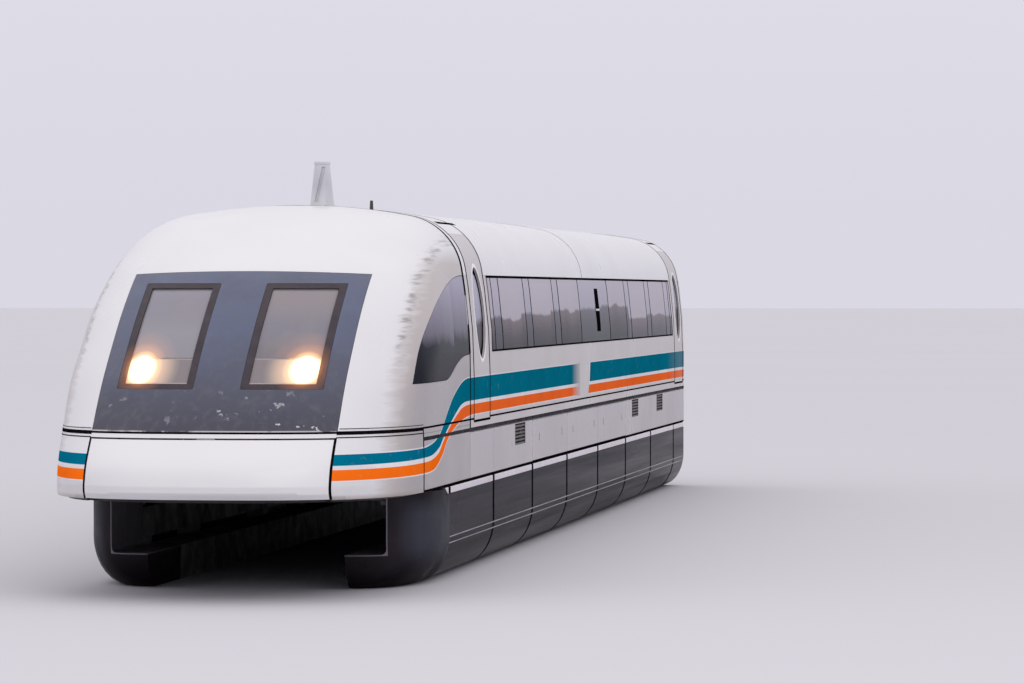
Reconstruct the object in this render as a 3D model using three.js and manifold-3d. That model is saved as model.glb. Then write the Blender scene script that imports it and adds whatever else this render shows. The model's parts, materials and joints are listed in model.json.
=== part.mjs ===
// End car of a magnetic levitation train, built as an assembly of separate pieces in millimetres.
// X runs across the car and +X is its left side, the nose points to -Y, and Z is up.
// The origin is on the ground under the middle of the car, level with its lowest edge.
import * as THREE from 'three';
import { mergeVertices } from 'three/addons/utils/BufferGeometryUtils.js';
import Module from 'manifold-3d';

// Driving dimensions of the body
const CAR_LENGTH = 26990;
const HALF_WIDTH = 1850;
const BODY_BOTTOM = 1000;
const WALL = 120;
const NOSE_TIP = -CAR_LENGTH / 2;
const REAR_PLANE = CAR_LENGTH / 2;
const BODY_REAR = REAR_PLANE - 55;
const CAB_REAR = -8320;
const WALL_TOP = 3203;
const HAIRLINE = 0.5;
const MOVING_GAP = 6;
const FLOOR_TOP = 1620;
const FLOOR_THICKNESS = 80;
const PAN_TOP = BODY_BOTTOM - 0.5;
const PAN_BOTTOM = 915;
const NOSE_PAN_BOTTOM = 975;
const PAN_STEP = -9950;

// Driving dimensions of the running gear that clasps the guideway
const MODULE_LENGTH = 3096;
const FIRST_MODULE = -9725;
const MODULE_COUNT = 7;
const SLOT_WALL = 1425;
const SLOT_FLOOR = 354;
const SLOT_TOP = 780;
const SLOT_CORNER = 55;
const SILL_TOP = 985;
const ARM_INNER = 1020;
const SKIRT_THICKNESS = 40;
const SKIRT_ROUND_WIDTH = 350;
const SKIRT_ROUND_HEIGHT = 500;
const FAIRING_FRONT = -11310;
const FAIRING_ROUNDNESS = 2.28;

// Side section: a straight wall, a wide side arc, a corner arc and a crown arc, all tangent
const SIDE_ARC = { x: -4950, z: 2130, radius: 6800, from: 0, to: 9.74, steps: 5 };
const CORNER_ARC = { x: 1074.1, z: 3163.6, radius: 687.8, from: 9.74, to: 79, steps: 6 };
const CROWN_ARC = { x: 0, z: -2362, radius: 6317, from: 79, to: 89, steps: 6 };
const WALL_HEIGHTS = [BODY_BOTTOM, 1070, 1130, 1330, 1516, 1630, 1850];

// Nose: at each height, where the outline's tip and its full width lie
// columns: height, tip, shoulder
const NOSE_LEVELS = [
  [1000, -13430, -10723],
  [1070, -13488, -10723],
  [1130, NOSE_TIP, -10723],
  [1330, -13400, -10717],
  [1630, -13115, -10657],
  [2080, -12666, -10487],
  [2480, -12208, -10022],
  [2830, -11740, -9720],
  [3200, -11160, -9094],
  [3430, -10634, -8636],
  [3630, -10111, -8424],
  [3780, -9593, -8330],
  [3880, -9150, -8330],
  [3935, -8760, -8330],
  [3955, -8340, -8330],
];
const NOSE_ROUNDNESS = 2.8;
const NOSE_STEPS = 24;

// Front panels
const MASK_HALF_WIDTH = 1230;
const MASK_TOP = 3200;
const MASK_ARCH = 30;
const NOSE_SEAM = 1633;
const BROW_BOTTOM = 1592;
const FLAP_HALF_WIDTH = 1210;
const FLAP_HINGE = { y: -13153, z: BROW_BOTTOM - 8.5, radius: 8, halfLength: 90 };
const FLAP_TOP = FLAP_HINGE.z - 6;
const PANE_INNER = 310;
const PANE_OUTER = 965;
const PANE_BOTTOM = 2110;
const PANE_TOP = 3055;
const PANE_CORNER = 10;
const FRAME_INNER = 235;
const FRAME_OUTER = 1040;
const FRAME_BOTTOM = 2060;
const FRAME_TOP = 3105;
const LAMP_TOP = 2358;
const LAMP_DEPTH = 50;
const GLASS = 25;
const SCORE_DEPTH = 8;
const SCORE_WIDTH = 6;
const CHIN_SEAM = -11303;
const LEDGE_SEAM = 1648;

// Doors, windows and the panels of the lower band
const DOOR_WIDTH = 1155;
const DOOR_BOTTOM = 1610;
const DOOR_TOP = 3650;
const DOOR_THICKNESS = 80;
const DOOR_STARTS = { front: -8055, rear: 12110 };
const DOOR_GLASS = 12;
const DOOR_REVEAL = 30;
const GUTTER = { inner: 1360, outer: 1410, floor: 3745 };
// columns: front end, rear end
const GUTTERS = [[-7810, -6520], [12400, 13420]];
const BAND_FRONT = -6690;
const BAND_REAR = 11905;
const BAND_BOTTOM = 2357;
const BAND_TOP = 3200;
const WINDOW_BOTTOM = 2430;
const WINDOW_TOP = 3130;
// columns: front edge, rear edge
const WINDOWS = [
  [-6650, -6400],
  [-5840, -3880],
  [-3350, -1390],
  [-860, 1100],
  [4120, 6080],
  [6610, 8570],
  [9100, 11060],
  [11620, 11860],
];
const PANE_LAP = 20;
const PANE_GAP = 7;
const PANE_GAP_DEPTH = 4;
// columns: lower edge, upper edge
const DISPLAYS = [[2500, 2770], [2800, 3065]];
const DISPLAY_FRONT = 2720;
const DISPLAY_REAR = 3080;
// columns: front edge, rear edge
const VENTS = [[-4968, -4129], [6510, 7289], [9625, 10432]];
const VENT_BOTTOM = 1255;
const VENT_TOP = 1500;
const VENT_DEPTH = 70;
const SLAT_COUNT = 6;
const LATCHES = [-2940, -910, 140, 2260, 3250, 5320];
const LATCH_BOTTOM = 1245;
const LATCH_TOP = 1335;
const LATCH_DEPTH = 22;
const SMALL_AERIAL_HEIGHT = 145;
const RAIL_BOTTOM = 1516;
const RAIL_TOP = 1556;
const RAIL_FRONT = -11300;
const RAIL_DEPTH = 20;
const BAY_TOP = 1510.5;
const BAY_FIRST = 2;
const BAY_COUNT = 3;
const FLAP_THICKNESS = 40;
const FLAP_GAP = 12;
const BAY_HINGE = { x: 1842, z: 1502, radius: 8 };

const COLOURS = {
  white: { color: 0xdedbd8, roughness: 0.35, metalness: 0 },
  mask: { color: 0x3a3c48, roughness: 0.3, metalness: 0 },
  glass: { color: 0x2a2733, roughness: 0.08, metalness: 0 },
  lamp: { color: 0xfff0d0, roughness: 0.2, metalness: 0 },
  dark: { color: 0x2b2c34, roughness: 0.4, metalness: 0.1 },
  black: { color: 0x141416, roughness: 0.6, metalness: 0 },
  steel: { color: 0x8a8c90, roughness: 0.4, metalness: 0.9 },
  grey: { color: 0x9a9da3, roughness: 0.5, metalness: 0.1 },
  cloth: { color: 0x35476b, roughness: 0.9, metalness: 0 },
};

const wasm = await Module();
wasm.setup();
const train = new THREE.Group();

// Turns a closed geometry into a solid that can be cut and joined.
function toSolid(geometry) {
  const bare = geometry.clone();
  bare.deleteAttribute('normal');
  bare.deleteAttribute('uv');
  const merged = mergeVertices(bare, 0.01);
  const triVerts = Uint32Array.from(merged.index.array);
  return new wasm.Manifold(new wasm.Mesh({
    numProp: 3,
    vertProperties: merged.attributes.position.array,
    triVerts,
  }));
}

// Turns a solid back into a geometry.
function toGeometry(solid) {
  const mesh = solid.getMesh();
  const positions = [];
  for (let i = 0; i < mesh.vertProperties.length; i += mesh.numProp) {
    positions.push(...mesh.vertProperties.subarray(i, i + 3));
  }
  const geometry = new THREE.BufferGeometry();
  geometry.setAttribute('position', new THREE.Float32BufferAttribute(positions, 3));
  geometry.setIndex(Array.from(mesh.triVerts));
  geometry.computeVertexNormals();
  return geometry;
}

// Adds a finished solid to the train as a named piece.
function addPiece(name, solid, colour) {
  const mesh = new THREE.Mesh(toGeometry(solid), new THREE.MeshStandardMaterial(COLOURS[colour]));
  mesh.name = name;
  train.add(mesh);
}

// A box between two corners.
function box(x0, x1, y0, y1, z0, z1) {
  const geometry = new THREE.BoxGeometry(Math.abs(x1 - x0), y1 - y0, z1 - z0);
  geometry.translate((x0 + x1) / 2, (y0 + y1) / 2, (z0 + z1) / 2);
  return toSolid(geometry);
}

// A shape drawn in Y and Z, extruded across the car between two X positions.
function acrossCar(shape, x0, x1) {
  const geometry = new THREE.ExtrudeGeometry(shape, {
    depth: Math.abs(x1 - x0), bevelEnabled: false, curveSegments: 10,
  });
  const turn = new THREE.Matrix4().makeBasis(
    new THREE.Vector3(0, 1, 0), new THREE.Vector3(0, 0, 1), new THREE.Vector3(1, 0, 0));
  geometry.applyMatrix4(turn);
  geometry.translate(Math.min(x0, x1), 0, 0);
  return geometry;
}

// A shape drawn in X and Z, extruded along the car between two Y positions.
function alongCar(shape, y0, y1) {
  const geometry = new THREE.ExtrudeGeometry(shape, {
    depth: y1 - y0, bevelEnabled: false, curveSegments: 10,
  });
  const turn = new THREE.Matrix4().makeBasis(
    new THREE.Vector3(1, 0, 0), new THREE.Vector3(0, 0, 1), new THREE.Vector3(0, -1, 0));
  geometry.applyMatrix4(turn);
  geometry.translate(0, y1, 0);
  return geometry;
}

// The same outline moved inwards by a gap all round.
function insetShape(shape, gap) {
  let points = shape.getPoints(10).filter((point, i, all) => point.distanceTo(all[(i + 1) % all.length]) > 0.01);
  if (THREE.ShapeUtils.isClockWise(points)) points = points.reverse();
  const inwards = points.map((point, i) => {
    const edge = points[(i + 1) % points.length].clone().sub(point).normalize();
    return new THREE.Vector2(-edge.y, edge.x);
  });
  return new THREE.Shape(points.map((point, i) => {
    const before = inwards[(i + points.length - 1) % points.length];
    const after = inwards[i];
    const move = before.clone().add(after).multiplyScalar(gap / (1 + before.dot(after)));
    return point.clone().add(move);
  }));
}

// A rectangle with rounded corners.
function roundedRectangle(left, right, bottom, top, radius) {
  const shape = new THREE.Shape();
  shape.moveTo(left + radius, bottom);
  shape.lineTo(right - radius, bottom);
  shape.absarc(right - radius, bottom + radius, radius, -Math.PI / 2, 0, false);
  shape.lineTo(right, top - radius);
  shape.absarc(right - radius, top - radius, radius, 0, Math.PI / 2, false);
  shape.lineTo(left + radius, top);
  shape.absarc(left + radius, top - radius, radius, Math.PI / 2, Math.PI, false);
  shape.lineTo(left, bottom + radius);
  shape.absarc(left + radius, bottom + radius, radius, Math.PI, 1.5 * Math.PI, false);
  return shape;
}

// Joins rings of equal length into a closed solid; each ring runs anticlockwise seen from above.
function loft(rings) {
  const size = rings[0].length;
  const positions = rings.flat(2);
  const index = [];
  for (let level = 0; level < rings.length - 1; level += 1) {
    for (let i = 0; i < size; i += 1) {
      const a = level * size + i;
      const b = level * size + (i + 1) % size;
      index.push(a, b, b + size, a, b + size, a + size);
    }
  }
  const top = (rings.length - 1) * size;
  for (let i = 1; i < size - 1; i += 1) {
    index.push(0, i + 1, i);
    index.push(top, top + i, top + i + 1);
  }
  const geometry = new THREE.BufferGeometry();
  geometry.setAttribute('position', new THREE.Float32BufferAttribute(positions, 3));
  geometry.setIndex(index);
  return toSolid(geometry);
}

// A column of the nose table at any height, by a smooth curve through its rows.
function noseValue(column, height) {
  const rows = NOSE_LEVELS;
  const last = rows.length - 1;
  if (height <= rows[0][0]) return rows[0][column];
  if (height >= rows[last][0]) return rows[last][column];
  const slope = (i) => {
    const before = rows[Math.max(i - 1, 0)];
    const after = rows[Math.min(i + 1, last)];
    return (after[column] - before[column]) / (after[0] - before[0]);
  };
  const i = rows.findIndex((row) => row[0] > height) - 1;
  const span = rows[i + 1][0] - rows[i][0];
  const t = (height - rows[i][0]) / span;
  return (2 * t ** 3 - 3 * t ** 2 + 1) * rows[i][column]
    + (t ** 3 - 2 * t ** 2 + t) * span * slope(i)
    + (3 * t ** 2 - 2 * t ** 3) * rows[i + 1][column]
    + (t ** 3 - t ** 2) * span * slope(i + 1);
}

// Half widths and heights of the body's section, set in from its surface.
function sectionLevels(inset, bottom) {
  const levels = WALL_HEIGHTS.filter((height) => height > bottom).map((height) => [HALF_WIDTH - inset, height]);
  levels.unshift([HALF_WIDTH - inset, bottom]);
  for (const arc of [SIDE_ARC, CORNER_ARC, CROWN_ARC]) {
    for (let i = 0; i <= arc.steps; i += 1) {
      if (i === 0 && arc !== SIDE_ARC) continue;
      const angle = THREE.MathUtils.degToRad(arc.from + (arc.to - arc.from) * i / arc.steps);
      const radius = arc.radius - inset;
      levels.push([arc.x + radius * Math.cos(angle), arc.z + radius * Math.sin(angle)]);
    }
  }
  return levels;
}

// The outline of the body at one level, from its right rear round the nose to its left rear.
function bodyOutline(halfWidth, height, inset, rear) {
  const tip = noseValue(1, height + 0.8 * inset) + 0.7 * inset;
  const shoulder = Math.max(noseValue(2, height + 0.8 * inset), tip + 10);
  const ring = [[-halfWidth, rear, height]];
  for (let i = 0; i <= NOSE_STEPS; i += 1) {
    const angle = Math.PI * i / NOSE_STEPS;
    const across = Math.abs(Math.cos(angle)) ** (2 / NOSE_ROUNDNESS) * Math.sign(Math.cos(angle));
    const along = Math.max(Math.sin(angle), 0) ** (2 / NOSE_ROUNDNESS);
    ring.push([-halfWidth * across, shoulder - (shoulder - tip) * along, height]);
  }
  ring.push([halfWidth, rear, height]);
  return ring;
}

// The whole body as one solid, set in from its surface.
function bodySolid(inset, bottom = BODY_BOTTOM, rear = BODY_REAR) {
  return loft(sectionLevels(inset, bottom).map(
    ([halfWidth, height]) => bodyOutline(halfWidth, height, inset, rear)));
}

const FAR = 20000;
const outerBody = bodySolid(0);
const underGlass = bodySolid(GLASS, 900, FAR);
const underRail = bodySolid(RAIL_DEPTH, 900, FAR);
const underFlap = bodySolid(FLAP_THICKNESS, 900, FAR);
const underDoor = bodySolid(DOOR_THICKNESS, 900, FAR);
const underScore = bodySolid(SCORE_DEPTH, 900, FAR);
const underPaneGap = bodySolid(PANE_GAP_DEPTH, 900, FAR);
const innerRoom = bodySolid(WALL, 900, FAR);
const roomFill = bodySolid(WALL + HAIRLINE, BODY_BOTTOM, FAR);
const shell = outerBody.subtract(innerRoom);

// Positions of the joints between the running gear's modules.
function moduleJoint(i) {
  return FIRST_MODULE + MODULE_LENGTH * i;
}

// Windscreen mask, drawn from the front, with its slightly arched top edge.
function maskShape(edge) {
  const half = MASK_HALF_WIDTH - edge;
  const shape = new THREE.Shape();
  shape.moveTo(-half, NOSE_SEAM + edge);
  shape.lineTo(half, NOSE_SEAM + edge);
  shape.lineTo(half, MASK_TOP - edge);
  shape.quadraticCurveTo(0, MASK_TOP + 2 * MASK_ARCH - edge, -half, MASK_TOP - edge);
  return shape;
}

// One windscreen pane or its frame, drawn from the front.
function frontPrism(side, inner, outer, bottom, top, gap) {
  const left = Math.min(side * inner, side * outer);
  const right = Math.max(side * inner, side * outer);
  const shape = roundedRectangle(left, right, bottom, top, PANE_CORNER);
  return toSolid(alongCar(insetShape(shape, gap), -13500, -9000));
}

function panePrism(side, gap) {
  return frontPrism(side, PANE_INNER, PANE_OUTER, PANE_BOTTOM, PANE_TOP, gap);
}

function framePrism(side, gap) {
  return frontPrism(side, FRAME_INNER, FRAME_OUTER, FRAME_BOTTOM, FRAME_TOP, gap);
}

// Cab side window: a long curve over the front, a straight sill and a raised sill behind.
function cabWindowPrism(side, gap) {
  const shape = new THREE.Shape();
  shape.moveTo(-11524, 2091);
  shape.lineTo(-9960, 2100);
  shape.bezierCurveTo(-9500, 2110, -9300, 2340, -8365, 2347);
  shape.lineTo(-8365, 3197);
  shape.bezierCurveTo(-9500, 3200, -10720, 2890, -11524, 2091);
  return toSolid(acrossCar(insetShape(shape, gap), side * 1000, side * 2000));
}

// A door's outline, drawn from the side.
function doorBox(start, side, edge) {
  return box(side * 700, side * 2000, start + edge, start + DOOR_WIDTH - edge, DOOR_BOTTOM + edge, DOOR_TOP - edge);
}

// A door's upright oval window.
function doorWindow(start, side, gap) {
  const shape = new THREE.Shape();
  shape.absellipse(start + 625, 2790, 350 - gap, 500 - gap, 0, 2 * Math.PI, false);
  return toSolid(acrossCar(shape, side * 1000, side * 2000));
}

// A shallow joint scored into the skin, within a box.
function score(side, y0, y1, z0, z1) {
  return box(side * 1000, side * 2000, y0, y1, z0, z1).subtract(underScore);
}

// The dark joint line above the rail.
function ledgeScore(side, y0, y1) {
  return score(side, y0, y1, LEDGE_SEAM - SCORE_WIDTH, LEDGE_SEAM);
}

// The slot that the trim rail sits in, and the rail's own outline.
function railBand(side, edge) {
  return box(side * 1000, side * 2000, RAIL_FRONT + edge, BODY_REAR - edge, RAIL_BOTTOM + edge, RAIL_TOP - edge);
}

function buildNose() {
  let nose = shell.intersect(box(-2000, 2000, -14000, CAB_REAR, BODY_BOTTOM, 4000));
  nose = nose.subtract(toSolid(alongCar(maskShape(0), -14000, -9000)));
  const opening = FLAP_HALF_WIDTH + MOVING_GAP;
  nose = nose.subtract(box(-opening, opening, -14000, -11000, 900, BROW_BOTTOM));
  for (const side of [-1, 1]) {
    nose = nose.subtract(cabWindowPrism(side, 0));
    nose = nose.subtract(railBand(side, 0).subtract(underRail));
    nose = nose.subtract(score(side, CHIN_SEAM - SCORE_WIDTH / 2, CHIN_SEAM + SCORE_WIDTH / 2, 900, LEDGE_SEAM - 40));
    nose = nose.subtract(ledgeScore(side, CHIN_SEAM + 100, 0));
  }
  addPiece('nose_shell', nose, 'white');

  let mask = shell.intersect(toSolid(alongCar(maskShape(HAIRLINE), -14000, -9000)));
  for (const side of [-1, 1]) {
    mask = mask.subtract(framePrism(side, 0));
  }
  addPiece('windscreen_mask', mask, 'mask');

  const panel = box(-FLAP_HALF_WIDTH, FLAP_HALF_WIDTH, -14000, -11000, BODY_BOTTOM + MOVING_GAP, FLAP_TOP);
  let flap = shell.intersect(panel);
  const knuckle = new THREE.CylinderGeometry(FLAP_HINGE.radius, FLAP_HINGE.radius, 2 * FLAP_HINGE.halfLength, 12);
  knuckle.rotateZ(Math.PI / 2);
  knuckle.translate(0, FLAP_HINGE.y, FLAP_HINGE.z);
  flap = flap.add(toSolid(knuckle));
  addPiece('nose_flap', flap, 'white');
}

// Windscreen panes in their frames, with a headlamp across the foot of each, and the cab's side windows.
function buildCabGlass() {
  const skin = outerBody.subtract(underGlass);
  const frameSkin = outerBody.subtract(underFlap);
  const lampSkin = outerBody.subtract(bodySolid(LAMP_DEPTH, 900, FAR));
  const aboveLamp = box(-2000, 2000, -14000, -9000, LAMP_TOP + HAIRLINE, 4000);
  const belowGlass = box(-2000, 2000, -14000, -9000, 1000, LAMP_TOP);
  for (const [side, word] of [[1, 'left'], [-1, 'right']]) {
    const pane = panePrism(side, HAIRLINE);
    addPiece(`pane_frame_${word}`, frameSkin.intersect(framePrism(side, HAIRLINE)).subtract(panePrism(side, 0)), 'dark');
    addPiece(`windscreen_glass_${word}`, skin.intersect(pane).intersect(aboveLamp), 'glass');
    addPiece(`headlamp_${word}`, lampSkin.intersect(pane).intersect(belowGlass), 'lamp');
    addPiece(`cab_side_glass_${word}`, skin.intersect(cabWindowPrism(side, HAIRLINE)), 'glass');
  }
}

// A ventilation opening in the foot of a wall, and the slats that cross it.
function ventOpening(side, front, rear) {
  return box(side * (HALF_WIDTH - VENT_DEPTH), side * 2000, front, rear, VENT_BOTTOM, VENT_TOP);
}

function ventSlats(side, front, rear) {
  const pitch = (VENT_TOP - VENT_BOTTOM) / SLAT_COUNT;
  const outer = HALF_WIDTH - 2;
  let slats = box(side * (outer - 20), side * outer, (front + rear) / 2 - 6, (front + rear) / 2 + 6,
    VENT_BOTTOM - 5, VENT_TOP + 5);
  for (let i = 0; i < SLAT_COUNT; i += 1) {
    const foot = VENT_BOTTOM + pitch * i + 4;
    const section = [[outer - 16, foot + 20], [outer - 16, foot + 15], [outer, foot], [outer, foot + 5]];
    const shape = new THREE.Shape(section.map(([x, z]) => new THREE.Vector2(side * x, z)));
    slats = slats.add(toSolid(alongCar(shape, front - 5, rear + 5)));
  }
  return slats;
}

function buildWalls() {
  const seams = [moduleJoint(1), moduleJoint(BAY_FIRST + BAY_COUNT + 1), moduleJoint(MODULE_COUNT)];
  for (const [side, word] of [[1, 'left'], [-1, 'right']]) {
    let wall = shell.intersect(box(0, side * 2000, CAB_REAR + HAIRLINE, BODY_REAR, BODY_BOTTOM, WALL_TOP));
    const band = box(side * 1500, side * 2000, BAND_FRONT, BAND_REAR, BAND_BOTTOM, BAND_TOP);
    wall = wall.subtract(band.subtract(underGlass));
    for (const [front, rear] of WINDOWS) {
      wall = wall.subtract(box(side * 1500, side * 2000, front, rear, WINDOW_BOTTOM, WINDOW_TOP));
    }
    for (const start of Object.values(DOOR_STARTS)) {
      wall = wall.subtract(doorBox(start, side, 0));
    }
    wall = wall.subtract(railBand(side, 0).subtract(underRail));
    const bay = box(side * 1600, side * 2000, moduleJoint(BAY_FIRST), moduleJoint(BAY_FIRST + BAY_COUNT), 900, BAY_TOP);
    wall = wall.subtract(bay).subtract(ledgeScore(side, -9000, 14000));
    for (const y of seams) {
      wall = wall.subtract(score(side, y - SCORE_WIDTH / 2, y + SCORE_WIDTH / 2, 900, BAY_TOP));
    }
    for (const [front, rear] of VENTS) {
      wall = wall.subtract(ventOpening(side, front, rear)).add(ventSlats(side, front, rear));
    }
    addPiece(`side_wall_${word}`, wall, 'white');

    const glassBand = box(side * 1500, side * 2000, BAND_FRONT + HAIRLINE, BAND_REAR - HAIRLINE,
      BAND_BOTTOM + HAIRLINE, BAND_TOP - HAIRLINE);
    let glass = outerBody.subtract(bodySolid(GLASS - HAIRLINE, 900, FAR)).intersect(glassBand);
    for (const [front, rear] of WINDOWS) {
      for (const y of [front - PANE_LAP - PANE_GAP, rear + PANE_LAP]) {
        glass = glass.subtract(box(side * 1500, side * 2000, y, y + PANE_GAP, 2000, 3500).subtract(underPaneGap));
      }
    }
    for (const [low, high] of DISPLAYS) {
      const display = box(side * 1500, side * 2000, DISPLAY_FRONT, DISPLAY_REAR, low, high);
      glass = glass.subtract(display.subtract(underPaneGap));
    }
    addPiece(`window_band_${word}`, glass, 'glass');
    const rail = outerBody.subtract(bodySolid(RAIL_DEPTH - HAIRLINE, 900, FAR)).intersect(railBand(side, HAIRLINE));
    addPiece(`trim_rail_${word}`, rail, 'black');
  }
}

function buildRoof() {
  let roof = shell.intersect(box(-2000, 2000, CAB_REAR + HAIRLINE, BODY_REAR, WALL_TOP + HAIRLINE, 4000));
  for (const side of [-1, 1]) {
    for (const start of Object.values(DOOR_STARTS)) {
      roof = roof.subtract(doorBox(start, side, 0));
    }
    for (const [front, rear] of GUTTERS) {
      roof = roof.subtract(box(side * GUTTER.inner, side * GUTTER.outer, front, rear, GUTTER.floor, 4000));
    }
  }
  addPiece('roof_shell', roof, 'white');
}

function buildDoors() {
  const skin = outerBody.subtract(underDoor);
  const glassSkin = bodySolid(DOOR_REVEAL).subtract(bodySolid(DOOR_REVEAL + DOOR_GLASS, 900, FAR));
  for (const [place, start] of Object.entries(DOOR_STARTS)) {
    for (const [side, word] of [[1, 'left'], [-1, 'right']]) {
      const door = skin.intersect(doorBox(start, side, HAIRLINE)).subtract(doorWindow(start, side, 0));
      addPiece(`door_${place}_${word}`, door, 'white');
      addPiece(`door_glass_${place}_${word}`, glassSkin.intersect(doorWindow(start, side, HAIRLINE)), 'glass');
    }
  }
}

// Hinged flaps over the equipment bays in the lower band, three on each side.
function buildBayFlaps() {
  const skin = outerBody.subtract(underFlap);
  for (const [side, word] of [[1, 'left'], [-1, 'right']]) {
    for (let i = 0; i < BAY_COUNT; i += 1) {
      const front = moduleJoint(BAY_FIRST + i) + FLAP_GAP / 2;
      const rear = moduleJoint(BAY_FIRST + i + 1) - FLAP_GAP / 2;
      let panel = skin.intersect(box(side * 1600, side * 2000, front, rear, BODY_BOTTOM + MOVING_GAP, BAY_HINGE.z));
      for (const y of LATCHES.filter((latch) => latch > front && latch < rear)) {
        const floor = HALF_WIDTH - LATCH_DEPTH;
        panel = panel.subtract(box(side * floor, side * 2000, y - 22, y + 22, LATCH_BOTTOM, LATCH_TOP));
        panel = panel.add(box(side * (floor - 8), side * (HALF_WIDTH - 5), y - 13, y + 13, LATCH_BOTTOM + 8, LATCH_TOP - 8));
      }
      const knuckle = new THREE.CylinderGeometry(BAY_HINGE.radius, BAY_HINGE.radius, rear - front, 12);
      knuckle.translate(side * BAY_HINGE.x, (front + rear) / 2, BAY_HINGE.z);
      addPiece(`bay_flap_${i + 1}_${word}`, panel.add(toSolid(knuckle)), 'white');
    }
    const front = moduleJoint(BAY_FIRST);
    const rear = moduleJoint(BAY_FIRST + BAY_COUNT);
    addPiece(`equipment_case_${word}`, box(side * 1000, side * 1700, front, rear, PAN_TOP + HAIRLINE, 1500), 'grey');
  }
}

// Floor between the walls and the pan that closes the car from below.
function buildFloors() {
  const slab = box(-2000, 2000, -11900, 13330, FLOOR_TOP - FLOOR_THICKNESS, FLOOR_TOP);
  addPiece('cabin_floor', roomFill.intersect(slab), 'grey');

  const plate = (inset) => {
    const outline = bodyOutline(HALF_WIDTH - inset, BODY_BOTTOM, inset, -9700);
    return loft([NOSE_PAN_BOTTOM, PAN_TOP].map((height) => outline.map(([x, y]) => [x, y, height])));
  };
  const behindFlap = box(-FLAP_HALF_WIDTH, FLAP_HALF_WIDTH, -14000, -11000, 900, BODY_BOTTOM);
  const front = plate(110).subtract(behindFlap).add(plate(170));
  let pan = front.add(box(-HALF_WIDTH, HALF_WIDTH, PAN_STEP, BODY_REAR, PAN_BOTTOM, PAN_TOP));
  const tip = new THREE.Shape();
  tip.moveTo(PAN_STEP - 60, SILL_TOP);
  tip.lineTo(PAN_STEP + 5, NOSE_PAN_BOTTOM + HAIRLINE);
  tip.lineTo(PAN_STEP + 5, SILL_TOP);
  for (const side of [-1, 1]) {
    pan = pan.add(toSolid(acrossCar(tip, side * 1700, side * HALF_WIDTH)));
    pan = pan.subtract(box(side * (HALF_WIDTH - 12), side * 2000, PAN_STEP - 100, BODY_REAR + 10, SILL_TOP, PAN_TOP + 10));
    for (let i = 0; i <= MODULE_COUNT; i += 1) {
      const y = moduleJoint(i);
      pan = pan.subtract(box(side * (HALF_WIDTH - 15), side * 2000, y - 5, y + 5, 900, SILL_TOP + 1));
    }
  }
  addPiece('belly_pan', pan, 'grey');
}

function buildRear() {
  const slab = box(-2000, 2000, 13331, BODY_REAR, BODY_BOTTOM, 4000);
  const doorway = box(-550, 550, 13000, 14000, FLOOR_TOP, 3700);
  addPiece('rear_end_wall', roomFill.intersect(slab).subtract(doorway), 'grey');

  const ring = bodySolid(10, BODY_BOTTOM, REAR_PLANE).subtract(bodySolid(150, BODY_BOTTOM + 150, FAR));
  const slice = box(-2000, 2000, BODY_REAR + HAIRLINE, REAR_PLANE, 900, 4000);
  const fold = box(-2000, 2000, REAR_PLANE - 36, REAR_PLANE - 20, 900, 4000).subtract(underFlap);
  addPiece('gangway_seal', ring.intersect(slice).subtract(fold), 'black');
}

// Outer curve of the skirt: how far in it lies at a height.
function skirtInset(height) {
  if (height >= SKIRT_ROUND_HEIGHT) return 0;
  const drop = (SKIRT_ROUND_HEIGHT - height) / SKIRT_ROUND_HEIGHT;
  return SKIRT_ROUND_WIDTH * (1 - Math.sqrt(1 - drop ** 2));
}

// The skirt's section between two depths under its surface.
function skirtShape(side, outerDepth, innerDepth, top) {
  const steps = 8;
  const curve = (depth) => Array.from({ length: steps + 1 }, (_, i) => {
    const angle = Math.PI / 2 * i / steps;
    return [HALF_WIDTH - SKIRT_ROUND_WIDTH + (SKIRT_ROUND_WIDTH - depth) * Math.cos(angle),
      SKIRT_ROUND_HEIGHT - (SKIRT_ROUND_HEIGHT - depth) * Math.sin(angle)];
  });
  const points = [[HALF_WIDTH - outerDepth, top], ...curve(outerDepth), ...curve(innerDepth).reverse(),
    [HALF_WIDTH - innerDepth, top]];
  return new THREE.Shape(points.map(([x, z]) => new THREE.Vector2(side * x, z)));
}

// Long dark skirts below the body, rounded in towards the bottom, with a joint at each module
// and a shallow channel along them.
function buildSkirts() {
  const top = PAN_BOTTOM - HAIRLINE;
  for (const [side, word] of [[1, 'left'], [-1, 'right']]) {
    let skirt = toSolid(alongCar(skirtShape(side, 0, SKIRT_THICKNESS, top), FIRST_MODULE, BODY_REAR));
    for (let i = 1; i <= MODULE_COUNT; i += 1) {
      const y = moduleJoint(i);
      skirt = skirt.subtract(toSolid(alongCar(skirtShape(side, -5, 12, top + 10), y - 5, y + 5)));
    }
    const channel = [[HALF_WIDTH + 10, 404], [HALF_WIDTH + 10, 458], [HALF_WIDTH - 6, 458], [HALF_WIDTH - 12, 404]];
    const shape = new THREE.Shape(channel.map(([x, z]) => new THREE.Vector2(side * x, z)));
    skirt = skirt.subtract(toSolid(alongCar(shape, FIRST_MODULE - 10, BODY_REAR + 10)));
    addPiece(`skirt_${word}`, skirt, 'dark');
  }
}

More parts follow.
